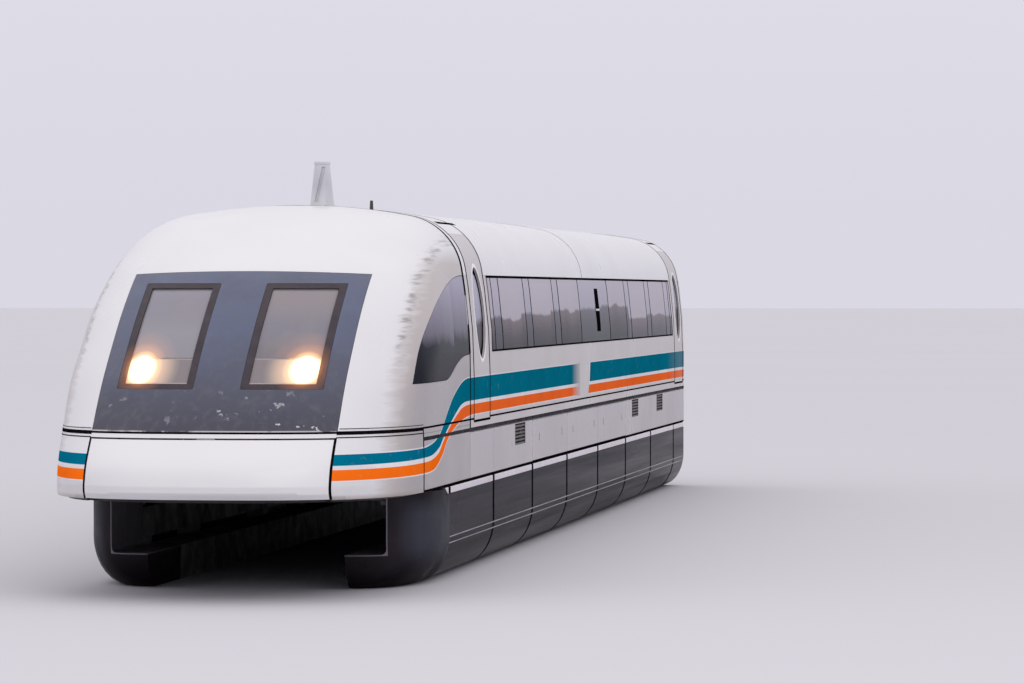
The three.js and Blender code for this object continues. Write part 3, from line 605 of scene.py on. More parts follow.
def bezier(start, pull_start, pull_end, end, steps):
    t = np.linspace(0, 1, steps)[:, None]
    points = [np.array(p) for p in (start, pull_start, pull_end, end)]
    curve = ((1 - t)**3 * points[0] + 3 * (1 - t)**2 * t * points[1] + 3 * (1 - t) * t**2 * points[2]
             + t**3 * points[3])
    return [tuple(point) for point in curve]


# The cab side window's edge, drawn from the side as along and up
WINDOW_FRONT = (-11.524, 2.091)
WINDOW_REAR = -8.365


def cab_window_outline():
    sill = bezier((-9.960, 2.100), (-9.500, 2.110), (-9.300, 2.340), (WINDOW_REAR, 2.347), 16)
    brow = bezier((WINDOW_REAR, 3.197), (-9.500, 3.200), (-10.720, 2.890), WINDOW_FRONT, 28)
    return [WINDOW_FRONT] + sill + brow[:-1]


def inset_outline(outline, gap):
    """The same outline moved inwards by a gap, with its corners mitred."""
    points = [np.array(p) for p in outline]
    area = sum(a[0] * b[1] - b[0] * a[1] for a, b in zip(points, points[1:] + points[:1]))
    if area < 0:
        points.reverse()
    moved = []
    for i, point in enumerate(points):
        back = point - points[i - 1]
        ahead = points[(i + 1) % len(points)] - point
        inward_back = np.array([-back[1], back[0]]) / np.linalg.norm(back)
        inward_ahead = np.array([-ahead[1], ahead[0]]) / np.linalg.norm(ahead)
        moved.append(tuple(point + (inward_back + inward_ahead) * gap / (1 + inward_back @ inward_ahead)))
    return moved


nose = wrap_grid("nose_skin", 140, 99, place_nose, WALL)
edit(nose, face_out)
carve(nose, [prism(mask_outline(0), "Y", -14, -9)])
carve(nose, [cut_box(-FLAP_OPENING, FLAP_OPENING, -14, -11, 0.9, BROW_BOTTOM)])
carve(nose, [prism(cab_window_outline(), "X", 1.0, 2.0), prism(cab_window_outline(), "X", -2.0, -1.0)])
rail_low, rail_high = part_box("trim_rail_left")
for side in (1, -1):
    carve(nose, [cut_box(side * 1.831, side * 2.0, rail_low.y, -8, rail_low.z, rail_high.z)])
    carve(nose, [cut_box(side * 1.0, side * 2.0, CHIN_SEAM - SEAM / 2, CHIN_SEAM + SEAM / 2, 0.9,
                         BROW_BOTTOM - 0.002)])


def nose_score(low, high):
    """A ring cutter that scores a joint into the skin all round the nose."""
    turns = np.linspace(0, math.pi, 90)
    middle = np.full(90, (low + high) / 2)
    outer = [np.array(round_nose(turns, middle, inset)).T for inset in (-0.02, SCORE_DEPTH)]
    outline = [tuple(p) for p in outer[0]]
    outline += [(-HALF_WIDTH - 0.02, -8.0), (-HALF_WIDTH + SCORE_DEPTH, -8.0)]
    outline += [tuple(p) for p in outer[1][::-1]]
    outline += [(HALF_WIDTH - SCORE_DEPTH, -8.0), (HALF_WIDTH + 0.02, -8.0)]
    return prism(outline, "Z", low, high)


carve(nose, [nose_score(BROW_BOTTOM - 0.002, BROW_BOTTOM + 0.002)])
fit_skin(nose, nose_white, "body_white", "nose_shell")


# Windscreen mask, its two frames, the panes and the headlamp units
# One moulded panel painted dark blue-grey, chipped and spattered low down by the wind.
# Each pane sits in a flush brown-grey frame, and a ribbed lamp glass fills the foot of the opening.
FRAME_INNER, FRAME_OUTER = 0.235, 1.040
FRAME_BOTTOM, FRAME_TOP = 2.060, 3.105
PANE_INNER, PANE_OUTER = 0.310, 0.965
PANE_BOTTOM, PANE_TOP = 2.110, 3.055
LAMP_TOP = 2.358
LAMP_SPOT = (0.825, 2.255)
SIDES = ((1, "left"), (-1, "right"))


def between(side, inner, outer):
    """Two distances from the middle, as places on one side in rising order."""
    return sorted((side * inner, side * outer))


def smooth_sharp(obj, angle=32):
    """Smooth shading that stays crisp at sharper edges than an angle."""
    pick(obj)
    bpy.ops.object.shade_smooth_by_angle(angle=math.radians(angle))
    return obj


mask_paint = Finish("mask_paint", Specular_IOR_Level=0.3)
# Lighter and bluer towards the top, where the mask slopes back towards the sky: painted light.
mask_sky_light = mask_paint.ramp(mask_paint.fade(mask_paint.axis("Z"), 1.65, 2.6),
                            [(0.0, (0.046, 0.045, 0.066)), (0.55, (0.078, 0.086, 0.135)),
                             (1.0, (0.096, 0.114, 0.190))])
mask_cloud = mask_paint.blend(mask_paint.fade(mask_paint.noise(1.3, 5), 0.35, 0.7, 0, 0.5), mask_sky_light,
                              (0.072, 0.070, 0.092))
mask_streak = mask_paint.blend(mask_paint.fade(mask_paint.noise(4, 6, (3, 3, 0.3)), 0.5, 0.75, 0, 0.4),
                               mask_cloud, (0.13, 0.13, 0.15))
chip_height = mask_paint.times(mask_paint.fade(mask_paint.axis("Z"), 1.66, 2.10, 1.0, 0.0),
                               mask_paint.fade(mask_paint.noise(1.6, 2), 0.47, 0.60))
chip_here = mask_paint.times(chip_height, mask_paint.fade(mask_paint.noise(8.0, 8), 0.640, 0.650))
chipped = mask_paint.blend(chip_here, mask_streak, (0.62, 0.61, 0.62))
seam_wear = mask_paint.fade(mask_paint.axis("Z"), 1.668, 1.660, 0.0, 0.8)
seam_ragged = mask_paint.times(seam_wear, mask_paint.fade(mask_paint.noise(3, 10, (1, 1, 1)), 0.47, 0.53))
worn = mask_paint.blend(seam_ragged, chipped, (0.56, 0.54, 0.54))
mask_paint.colour(worn)
mask_paint.uneven(0.28, 0.5, 2.5, 5)
mask_paint.bump(mask_paint.noise(60, 3), 0.0006, 0.3)


def place_mask(u, v):
    half = MASK_HALF_WIDTH - 0.003
    x = (2 * u - 1) * half
    bottom = MASK_BOTTOM + 0.008
    z = bottom + (arch(x, half, MASK_TOP - 0.003) - bottom) * v
    return x, on_front(x, z, PAINT_DEPTH), z


def rectangle(left, right, bottom, top, radius=0.0, steps=5):
    """A rectangle, with rounded corners where it has a radius."""
    if not radius:
        return [(left, bottom), (right, bottom), (right, top), (left, top)]
    corners = [(right - radius, bottom + radius, -90), (right - radius, top - radius, 0),
               (left + radius, top - radius, 90), (left + radius, bottom + radius, 180)]
    return [(x + radius * math.cos(math.radians(start + turn)),
             z + radius * math.sin(math.radians(start + turn))) for x, z, start in corners
            for turn in np.linspace(0, 90, steps)]


def front_patch(name, left, right, bottom, top, depth, thickness, columns=24, rows=30):
    """A panel of the nose drawn from the front between four edges, at a depth under the surface."""
    def place(u, v):
        x = left + (right - left) * u
        z = bottom + (top - bottom) * v
        return x, on_front(x, z, depth), z
    return wrap_grid(name, columns, rows, place, thickness)


mask = wrap_grid("windscreen_mask_panel", 90, 56, place_mask, WALL)
carve(mask, [prism(rectangle(*between(side, FRAME_INNER, FRAME_OUTER), FRAME_BOTTOM, FRAME_TOP, 0.010), "Y",
                   -14, -9) for side in (1, -1)])
fit_skin(mask, mask_paint, "mask_dark", "windscreen_mask")


def glow(made, stops, power, reach=0.5):
    """Light around the two lamp spots: colours by distance from the nearer spot, and their strength. On the
    frames, panes and bars it is a painted glow.
    """
    aside = made.math("SUBTRACT", made.math("ABSOLUTE", made.axis("X")), LAMP_SPOT[0])
    above = made.math("SUBTRACT", made.axis("Z"), LAMP_SPOT[1])
    square = made.plus(made.times(aside, aside), made.times(above, above))
    spot = made.math("SQRT", square)
    made.link(made.ramp(made.fade(spot, 0.0, reach), stops), made.shader, "Emission Color")
    made.shader.inputs["Emission Strength"].default_value = power
    return spot


frame_paint = Finish("pane_frame_paint", Roughness=0.5, Specular_IOR_Level=0.2)
frame_tone = frame_paint.ramp(frame_paint.noise(5, 5),
                              [(0.3, (0.036, 0.028, 0.036)), (0.7, (0.056, 0.044, 0.054))])
frame_paint.colour(frame_paint.blend(frame_paint.fade(frame_paint.noise(40, 3), 0.6, 0.75, 0, 0.3),
                                     frame_tone, (0.13, 0.11, 0.11)))
# The frame glows orange round the lamp spots: painted glow.
glow(frame_paint, [(0.24, (0.55, 0.22, 0.06)), (0.36, (0.16, 0.055, 0.016)), (0.58, (0.0, 0.0, 0.0))], 1.0)

pane_glass = Finish("pane_glass", Roughness=0.07, Alpha=0.94, Specular_IOR_Level=0.3)
# Lighter towards the top: a painted sky reflection.
pane_reflection = pane_glass.ramp(pane_glass.fade(pane_glass.axis("Z"), 2.35, 3.05),
                            [(0.0, (0.16, 0.15, 0.175)), (0.35, (0.215, 0.205, 0.245)),
                             (0.6, (0.215, 0.21, 0.255)), (1.0, (0.28, 0.265, 0.31))])
pane_across, pane_up = pane_glass.axis("X"), pane_glass.axis("Z")
pane_haze = pane_glass.times(pane_glass.fade(pane_across, 0.1, -0.1, 0, 0.7),
                             pane_glass.fade(pane_up, 2.95, 2.62))
pane_reflection = pane_glass.blend(pane_haze, pane_reflection, (0.32, 0.31, 0.345))
pane_cabin = pane_glass.times(pane_glass.fade(pane_across, -0.1, 0.1, 0, 0.7),
                              pane_glass.fade(pane_up, 2.65, 2.90))
pane_reflection = pane_glass.blend(pane_cabin, pane_reflection, (0.275, 0.235, 0.240))
pane_warm = pane_glass.fade(pane_glass.noise(1.6, 4, (1.5, 1, 0.5)), 0.45, 0.72, 0, 0.35)
pane_glass.colour(pane_glass.blend(pane_warm, pane_reflection, (0.33, 0.27, 0.25)))
# The pane glows round the lamp spots: painted glow.
glow(pane_glass, [(0.225, (1.0, 0.93, 0.72)), (0.28, (0.80, 0.42, 0.14)), (0.36, (0.30, 0.12, 0.035)),
                  (0.52, (0.08, 0.03, 0.01)), (0.75, (0.0, 0.0, 0.0))], 1.3)

lamp_lens = Finish("lamp_lens", Roughness=0.2, Specular_IOR_Level=0.4)
lens_spot = glow(lamp_lens,
                 [(0.0, (1.0, 0.98, 0.92)), (0.19, (1.0, 0.97, 0.85)), (0.25, (0.98, 0.74, 0.38)),
                  (0.32, (0.50, 0.20, 0.06)), (0.44, (0.13, 0.05, 0.02)), (0.70, (0.0, 0.0, 0.0))], 1.6)
lens_tone = lamp_lens.ramp(lamp_lens.fade(lens_spot, 0.1, 0.4),
                           [(0.0, (0.75, 0.6, 0.45)), (1.0, (0.215, 0.185, 0.195))])
lens_edge = lamp_lens.plus(lamp_lens.math("GREATER_THAN", lamp_lens.axis("Z"), LAMP_TOP - 0.012),
                           lamp_lens.math("LESS_THAN", lamp_lens.axis("Z"), PANE_BOTTOM + 0.012))
lamp_lens.colour(lamp_lens.blend(lens_edge, lens_tone, (0.38, 0.31, 0.30)))

bar_paint = Finish("lamp_bar_paint", Roughness=0.4)
bar_paint.mottle(8, (0.24, 0.215, 0.23), (0.31, 0.285, 0.295))
# The bar glows round the lamp spots: painted glow.
glow(bar_paint, [(0.0, (1.0, 0.98, 0.90)), (0.22, (1.0, 0.90, 0.66)), (0.30, (0.62, 0.30, 0.10)),
                 (0.46, (0.0, 0.0, 0.0))], 1.4)

RIB_PITCH = 0.0155
RIB_HEIGHT = 0.0016
for side, word in SIDES:
    inner, outer = between(side, FRAME_INNER, FRAME_OUTER)
    surround = front_patch(f"pane_frame_{word}", inner + 0.003, outer - 0.003, FRAME_BOTTOM + 0.003,
                           FRAME_TOP - 0.003, 0.003, 0.040, 30, 40)
    carve(surround, [prism(rectangle(*between(side, PANE_INNER, PANE_OUTER), PANE_BOTTOM, PANE_TOP, 0.008),
                           "Y", -14, -9)])
    fit_skin(surround, frame_paint, "mask_dark", f"pane_frame_{word}")

    left, right = between(side, PANE_INNER, PANE_OUTER)
    pane = front_patch(f"windscreen_pane_{word}", left + 0.001, right - 0.001, LAMP_TOP + 0.008,
                       PANE_TOP - 0.001, 0.020, 0.012)
    fit_skin(pane, pane_glass, "tinted_glass", f"windscreen_glass_{word}")

    bar = front_patch(f"lamp_bar_{word}", left + 0.001, right - 0.001, LAMP_TOP, LAMP_TOP + 0.007,
                      0.017, 0.02, 12, 2)
    fit(bar, bar_paint, "mask_dark")

    def place_lens(u, v, left=left, right=right):
        x = left + 0.001 + (right - left - 0.002) * u
        z = PANE_BOTTOM + 0.001 + (LAMP_TOP - PANE_BOTTOM - 0.002) * v
        rib = RIB_HEIGHT * np.abs(np.sin(math.pi * z / RIB_PITCH))
        return x, on_front(x, z, 0.021) - rib, z

    lens = wrap_grid(f"headlamp_lens_{word}", 26, 128, place_lens, 0.05)
    fit(smooth_sharp(lens, 40), lamp_lens, "lamp_glass", f"headlamp_{word}")


# Nose flap
# The white panel under the windscreen hides the emergency coupler and swings up on a hinge at its top edge.
# Its seams show as thin black lines. The panel is bare.
flap_low, flap_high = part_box("nose_flap")
joints = {joint["name"]: joint for joint in frame["joints"]}
flap_axis = joints["nose_flap_hinge"]["pos_m"]
FLAP_TOP = flap_axis[2] - 0.006
KNUCKLE = 0.008
flap = front_patch("nose_flap_panel", flap_low.x, flap_high.x, flap_low.z, FLAP_TOP,
                   PAINT_DEPTH, WALL, 96, 34)
fit_skin(flap, body_white("flap_white", 0.25), "body_white", "nose_flap", body="nose_flap_body")


def knuckle(name, start, end, made, body, slot, pitch=0.03):
    """A hinge: a rod between two points, with the joints between its knuckles cut in."""
    start, end = Vector(start), Vector(end)
    middle = (start + end) / 2
    turn = (end - start).to_track_quat("Z", "Y").to_euler()
    bpy.ops.mesh.primitive_cylinder_add(vertices=20, radius=KNUCKLE - 0.0005, depth=(end - start).length,
                                        location=middle, rotation=turn)
    rod = bpy.context.object
    rod.name = name
    settle(rod)
    pieces = max(3, round((end - start).length / pitch))

    def score():
        for i in range(1, pieces):
            place = start.lerp(end, i / pieces)
            bpy.ops.mesh.select_all(action="SELECT")
            bpy.ops.mesh.bisect(plane_co=place, plane_no=(end - start).normalized())
    edit(rod, score)
    return fit(smooth_sharp(rod, 50), made, slot, body=body)


hinge_steel = Finish("hinge_steel", Metallic=0.9)
hinge_steel.mottle(30, (0.25, 0.25, 0.26), (0.38, 0.38, 0.39))
hinge_steel.uneven(0.3, 0.55, 12)
knuckle("nose_flap_hinge_pin", (-0.09, flap_axis[1], flap_axis[2]), (0.09, flap_axis[1], flap_axis[2]),
        hinge_steel, "nose_flap_body", "body_white")


# Cab side windows
# A curved pane on each side, bonded into the shell with a black seal round its edge.
CLEAR_TINT = (0.030, 0.030, 0.036)


def window_glass(name, low, high, rise, reflection, tilt=0.0, tint=CLEAR_TINT, far_drop=0.0):
    """Tinted glass, dark when seen square on; at a low angle it mirrors the sky above a broken skyline."""
    made = Finish(name, Roughness=0.06, Alpha=0.90, Specular_IOR_Level=0.005)
    steps = made.node("ShaderNodeMath", operation="SNAP")
    made.link(made.axis("Y"), steps, 0)
    steps.inputs[1].default_value = 0.85
    blocks = made.node("ShaderNodeTexWhiteNoise", noise_dimensions="1D")
    made.link(steps.outputs[0], blocks, "W")
    rough = made.plus(made.fade(blocks.outputs["Value"], 0, 1, -rise, rise),
                      made.fade(made.noise(1.1, 4, (1, 1, 0.2)), 0.3, 0.7, -rise, rise))
    slope = made.plus(made.times(made.axis("Y"), tilt),
                      made.fade(made.axis("Y"), 6.30, 6.40, 0.0, far_drop))
    height = made.plus(made.plus(made.axis("Z"), rough), slope)
    mirrored = made.ramp(made.fade(height, low, high), reflection)
    facing = made.node("ShaderNodeLayerWeight", Blend=0.5)
    glance = made.fade(facing.outputs["Facing"], 0.30, 0.68)
    made.colour(made.blend(glance, tint, mirrored))
    return made


cab_glass = window_glass("cab_side_glass", 2.1, 3.15, 0.10,
                         [(0.0, (0.010, 0.010, 0.017)), (0.40, (0.032, 0.035, 0.045)),
                          (0.52, (0.19, 0.18, 0.23)), (1.0, (0.42, 0.40, 0.51))])
seal_black = Finish("seal_black", Specular_IOR_Level=0.0)
seal_black.mottle(12, (0.003, 0.003, 0.004), (0.007, 0.006, 0.006))
seal_black.uneven(0.45, 0.7, 6)
SEAL_WIDTH = 0.006


def side_patch(name, side, y0, y1, z0, z1, depth, thickness, columns=40, rows=30):
    """A panel of the body drawn from the side between four edges, at a depth under the surface."""
    def place(u, v):
        along = u if side > 0 else 1 - u
        y = y0 + (y1 - y0) * along
        z = z0 + (z1 - z0) * v
        return side * on_side(y, z, depth), y, z
    return wrap_grid(name, columns, rows, place, thickness)


for side, word in SIDES:
    def cab_patch(name, depth, thickness, gap, side=side):
        patch = side_patch(name, side, -11.60, -8.33, 2.05, 3.25, depth, thickness, 90, 44)
        edge = inset_outline(cab_window_outline(), gap)
        return carve(patch, [prism(edge, "X", *between(side, 1.0, 2.0))], "INTERSECT")

    pane = cab_patch(f"cab_side_pane_{word}", PAINT_DEPTH + 0.001, 0.020, SEAL_WIDTH)
    fit_skin(pane, cab_glass, "tinted_glass", f"cab_side_glass_{word}")
    seal = cab_patch(f"cab_side_seal_{word}", PAINT_DEPTH + 0.003, 0.03, 0.001)
    hole = prism(inset_outline(cab_window_outline(), SEAL_WIDTH), "X", *between(side, 1.0, 2.0))
    carve(seal, [hole])
    fit_skin(seal, seal_black, "rubber_black")


# Side walls
# Welded aluminium sections, riveted over a frame and painted white, with fixed panels along the foot.
# A dark rail runs along them at floor height, and each wall is joined from panels with open seams between.
GAP = 0.006
RAIL_Z = (rail_low.z, rail_high.z)
PANEL_TOP = 1.5105
MODULE_PITCH = 3.096
MODULE_START = -9.725
MODULE_JOINTS = [MODULE_START + MODULE_PITCH * i for i in range(8)]
DOORS = {"front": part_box("door_front_left"), "rear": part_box("door_rear_left")}
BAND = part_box("window_band_left")
BAYS = [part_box(f"bay_flap_{i}_left") for i in (1, 2, 3)]
VENTS = [(-4.968, -4.129), (6.510, 7.289), (9.625, 10.432)]
VENT_Z = (1.255, 1.500)

# The walls' white is darker than the roof's white, and the foot panels' white darker still: painted shade on
# the sides.
SHADED_WALL_TONE = (0.510, 0.475, 0.480)
SHADED_FOOT_TONE = (0.425, 0.390, 0.420)
shaded_wall_white = body_white("shaded_wall_white", 0.3, SHADED_WALL_TONE, 0.25)
shaded_panel_white = body_white("shaded_panel_white", 0.55, SHADED_FOOT_TONE, 0.25)


def wall_section(bottom, top):
    """Heights for a wall panel: few where it is flat and more where it curves."""
    levels = [SIDE_ARC["z"], 2.6, 3.05, 3.28, 3.33, 3.38, 3.43, 3.48, 3.53, 3.58, 3.62]
    return [bottom] + [level for level in levels if bottom + 0.02 < level < top - 0.02] + [top]


def wall_panel(name, side, y0, y1, z0, z1, depth=PAINT_DEPTH, thickness=WALL, columns=6):
    """A panel of the straight part of the side, its rows following the section."""
    heights = np.array(wall_section(z0, z1))

    def place(u, v):
        z = np.interp(v, np.linspace(0, 1, len(heights)), heights)
        along = u if side > 0 else 1 - u
        return side * half_width(z, depth), y0 + (y1 - y0) * along, z
    return wrap_grid(name, columns, len(heights) - 1, place, thickness)


def panel_seams():
    """Where the fixed panels of the wall's foot begin and end, between the open joints."""
    fixed = [y for y in MODULE_JOINTS if y > CAB_REAR and not BAYS[0][0].y < y < BAYS[2][1].y]
    edges = [CAB_REAR + GAP / 2] + fixed + [BODY_REAR + GAP / 2]
    pairs = list(zip(edges, edges[1:]))
    return [(a + GAP / 2, b - GAP / 2) for a, b in pairs if not a < BAYS[1][0].y < b]


for side, word in SIDES:
    start, end = CAB_REAR + GAP / 2, BODY_REAR
    foot, step, ledge = RAIL_Z[1] + 0.002, DOORS["front"][0].z - 0.003, LEDGE_SEAM - 0.003
    top = WALL_TOP - 0.001
    front, front_end = DOORS["front"][0].y - 0.004, DOORS["front"][1].y + 0.004
    rear, rear_end = DOORS["rear"][0].y - 0.004, DOORS["rear"][1].y + 0.004
    low_spans = [(start, end, foot, step)]
    low_spans += [(y0, y1, step, ledge) for y0, y1 in ((front_end, rear), (start, front), (rear_end, end))]
    parts = [wall_panel("wall_part", side, *span) for span in low_spans]
    parts.append(wall_panel("rail_bed", side, start, end, PANEL_TOP, foot, 0.021, WALL - 0.021))
    for y0, y1 in ((start, front), (rear_end, end)):
        parts.append(wall_panel("wall_part", side, y0, y1, LEDGE_SEAM, top))
    middle = wall_panel("wall_middle", side, front_end, rear, LEDGE_SEAM, top, columns=24)
    carve(middle, [cut_box(side * 1.4, side * 2.0, BAND[0].y - 0.001, BAND[1].y + 0.001, BAND[0].z - 0.001,
                           BAND[1].z + 0.1)])
    wall = join([*parts, middle], f"side_wall_panels_{word}")
    fit_skin(wall, shaded_wall_white, "body_white", f"side_wall_{word}")

    panels = [wall_panel("foot_panel", side, y0, y1, BODY_BOTTOM + 0.001, PANEL_TOP - 0.003)
              for y0, y1 in panel_seams()]
    panels = join(panels, f"foot_panels_{word}")
    carve(panels, [cut_box(side * 1.70, side * 2.0, y0, y1, *VENT_Z) for y0, y1 in VENTS])
    fit_skin(panels, shaded_panel_white, "body_white")


# Seam seals
# Flat black rubber strips, bonded flush over the open joints between the wall panels and round the nose.
# The widest is where the cab's shell meets the body.
SEAL_DEPTH = 0.0002
SEAL_WALL = 0.0016
CAB_JOINT = 0.100
CAB_JOINT_FOOT = 0.060
DOOR_JOINT = 0.045
LEDGE_JOINT = 0.020
LIP_HEIGHT = 0.020
for side, word in SIDES:
    low = DOORS["front"][0]
    front_door = (DOORS["front"][0].y, DOORS["front"][1].y)
    rear_door = (DOORS["rear"][0].y, DOORS["rear"][1].y)
    seals = [(y, DOOR_JOINT, low.z, WALL_TOP) for y in (*front_door, *rear_door)]
    seals += [(CAB_REAR, CAB_JOINT_FOOT, RAIL_Z[1], BAND[0].z), (CAB_REAR, CAB_JOINT, BAND[0].z, WALL_TOP)]
    spans = [(y - wide / 2, y + wide / 2, bottom, top) for y, wide, bottom, top in seals]
    ledge = (LEDGE_SEAM - LEDGE_JOINT / 2, LEDGE_SEAM + LEDGE_JOINT / 2)
    for y0, y1 in ((CAB_REAR + 0.02, front_door[0]), (front_door[1], rear_door[0]),
                   (rear_door[1], BODY_REAR - 0.01)):
        spans.append((y0, y1, *ledge))
    spans += [(y0, y1, BODY_BOTTOM + 0.0005, BODY_BOTTOM + LIP_HEIGHT) for y0, y1 in panel_seams()]
    strips = [wall_panel("seal", side, *span, SEAL_DEPTH, SEAL_WALL, 2) for span in spans]
    strips.append(side_patch("seal", side, CHIN_SEAM, CAB_REAR - 0.02, *ledge, SEAL_DEPTH,
                             SEAL_WALL, 40, 2))
    strips.append(side_patch("seal", side, CHIN_SEAM - 0.018, CHIN_SEAM + 0.018, BODY_BOTTOM + 0.002,
                             LEDGE_SEAM, SEAL_DEPTH, SEAL_WALL, 2, 16))
    strips.append(side_patch("seal", side, CHIN_SEAM, CAB_REAR - 0.003, BODY_BOTTOM + 0.0005,
                             BODY_BOTTOM + LIP_HEIGHT, SEAL_DEPTH, SEAL_WALL, 40, 2))
    seal = join(strips, f"seam_seals_{word}")
    fit_skin(seal, seal_black, "rubber_black")


def nose_band(name, side, bottom, top, wide_from, rear):
    """A thin strip round one corner of the nose, from beside the middle back to a place on the side."""
    def place(u, v):
        z = bottom + (top - bottom) * v
        half, tip, shoulder = outline_values(z, SEAL_DEPTH)
        first = np.arccos(np.clip((wide_from / half)**(NOSE_ROUNDNESS / 2), 0, 1))
        last = np.arcsin(np.clip((shoulder - rear) / (shoulder - tip), 0, 1)**(NOSE_ROUNDNESS / 2))
        part = u if side < 0 else 1 - u
        turn = last + (first - last) * (1 - part)
        x, y = round_nose(turn, z, SEAL_DEPTH)
        return side * x, y, z
    return wrap_grid(name, 60, 2, place, SEAL_WALL)


NOSE_LINES = [(NOSE_SEAM - 0.012, NOSE_SEAM + 0.022),
              (BROW_BOTTOM - 0.0005, BROW_BOTTOM + 0.0085), (1.676, 1.682)]
FLAP_GASKET = (1.2165, 1.2340)
for side, word in SIDES:
    bands = [nose_band("band", side, bottom, top,
                       MASK_HALF_WIDTH - 0.004 if bottom < 1.66 else MASK_HALF_WIDTH + 0.012, CHIN_SEAM)
             for bottom, top in NOSE_LINES]
    left, right = sorted(side * x for x in FLAP_GASKET)
    bands.append(front_patch("gasket", left, right, BODY_BOTTOM + 0.002, BROW_BOTTOM, SEAL_DEPTH,
                             SEAL_WALL, 2, 24))
    left, right = sorted((0.0, side * (MASK_HALF_WIDTH - 0.004)))
    bands.append(front_patch("band", left, right, NOSE_SEAM, NOSE_SEAM + 0.018, SEAL_DEPTH,
                             SEAL_WALL, 30, 2))
    bands = join(bands, f"nose_seals_{word}")
    fit_skin(bands, seal_black, "rubber_black")


# Ventilation grilles
# Pressed aluminium louvres set into three openings of each wall's foot, one slat over another.
# Behind them a dark box stands for the shade in the duct: painted shade.
SLATS = 6
vent_paint = Finish("vent_paint", Roughness=0.55)
vent_paint.mottle(14, (0.030, 0.026, 0.026), (0.075, 0.066, 0.064), 4)
vent_duct_shade = Finish("vent_duct_shade", Roughness=0.8)
vent_duct_shade.mottle(9, (0.008, 0.008, 0.008), (0.02, 0.018, 0.018))
for side, word in SIDES:
    slats = []
    ducts = []
    for y0, y1 in VENTS:
        pitch = (VENT_Z[1] - VENT_Z[0]) / SLATS
        for i in range(SLATS):
            foot = VENT_Z[0] + pitch * i
            slat = prism([(side * 1.832, foot + 0.022), (side * 1.838, foot + 0.020),
                          (side * 1.8475, foot + 0.004), (side * 1.8475, foot), (side * 1.842, foot)], "Y",
                         y0 + 0.001, y1 - 0.001)
            slats.append(slat)
        for y in (y0 + 0.001, y1 - 0.013):
            slats.append(cut_box(side * 1.825, side * 1.8465, y, y + 0.012, VENT_Z[0] + 0.001,
                                 VENT_Z[1] - 0.001))
        # A black box behind the louvres: painted shade in the duct.
        ducts.append(cut_box(side * 1.76, side * 1.78, y0 + 0.001, y1 - 0.001, VENT_Z[0] + 0.001,
                             VENT_Z[1] - 0.001))
    grille = join(slats, f"vent_louvres_{word}")
    fit(grille, vent_paint, "body_white")
    duct = join(ducts, f"vent_ducts_{word}")
    fit(duct, vent_duct_shade, "rubber_black")


# Trim rail
# A dark rubber-faced bumper rail in a slot along the whole side at floor height.
# It starts behind the nose with a blunt end.
rail_rubber = Finish("rail_rubber", Specular_IOR_Level=0.01)
rail_grain = rail_rubber.ramp(rail_rubber.noise(3, 6, (1, 0.3, 1)),
                              [(0.35, (0.008, 0.007, 0.011)), (0.7, (0.026, 0.023, 0.030))])
rail_rubber.colour(rail_grain)
rail_rubber.uneven(0.35, 0.6, 8)
for side, word in SIDES:
    pieces = []
    for depth, z0, z1 in ((0.0020, RAIL_Z[0] + 0.001, RAIL_Z[1] - 0.001),
                          (0.0, RAIL_Z[0] + 0.0025, RAIL_Z[1] - 0.0025)):
        ends = [rail_low.y + 0.001, CAB_REAR, *[y for y in (-2.0, 5.0) if y > CAB_REAR],
                rail_high.y - 0.001]
        for y0, y1 in zip(ends, ends[1:]):
            pieces.append(side_patch("rail", side, y0, y1, z0, z1, depth, 0.0195 - depth,
                                     30 if y0 < CAB_REAR else 2, 2))
    rail = join(pieces, f"trim_rail_profile_{word}")
    fit_skin(rail, rail_rubber, "rubber_black", f"trim_rail_{word}")


# Window band
# Tinted panes bonded edge to edge over a black frame, with grey pillar covers between them.
# Black seals run along the top and the foot, and two blank display panels share the wide middle cover.
WINDOWS = [(-6.650, -6.400), (-5.840, -3.880), (-3.350, -1.390), (-0.860, 1.100), (4.120, 6.080),
           (6.610, 8.570), (9.100, 11.060), (11.620, 11.860)]
WINDOW_Z = (2.430, 3.130)
DISPLAYS = [(2.800, 3.065), (2.500, 2.770)]
DISPLAY_Y = (2.72, 3.08)
PANE_LAP = 0.020
PANE_BORDER = 0.045
SEAL_TOP = 0.024
SEAL_FOOT = 0.020

band_glass = window_glass("band_glass", 2.40, 3.15, 0.035,
                          [(0.0, (0.014, 0.011, 0.018)), (0.10, (0.036, 0.030, 0.040)),
                           (0.25, (0.070, 0.058, 0.073)), (0.50, (0.180, 0.147, 0.172)),
                           (0.54, (0.47, 0.43, 0.495)), (1.0, (0.52, 0.475, 0.55))],
                          -0.008, CLEAR_TINT, 0.19)
cover_paint = window_glass("pillar_cover", 2.40, 3.15, 0.03,
                           [(0.0, (0.020, 0.022, 0.032)), (0.25, (0.055, 0.055, 0.075)),
                            (0.50, (0.110, 0.105, 0.130)), (0.56, (0.36, 0.35, 0.43)),
                            (1.0, (0.44, 0.41, 0.50))], -0.008, (0.022, 0.023, 0.030), 0.19)
cover_paint.shader.inputs["Alpha"].default_value = 1.0

display_black = Finish("display_black", Roughness=0.6, Specular_IOR_Level=0.0)
display_black.mottle(8, (0.002, 0.002, 0.003), (0.005, 0.004, 0.005))


def cover_spans():
    """Where the pillar covers lie: between the panes, and at both ends of the band."""
    edges = [(BAND[0].y, BAND[0].y + 0.002)] + WINDOWS + [(BAND[1].y - 0.002, BAND[1].y)]
    return [(a[1] + PANE_LAP + 0.007, b[0] - PANE_LAP - 0.007) for a, b in zip(edges, edges[1:])]


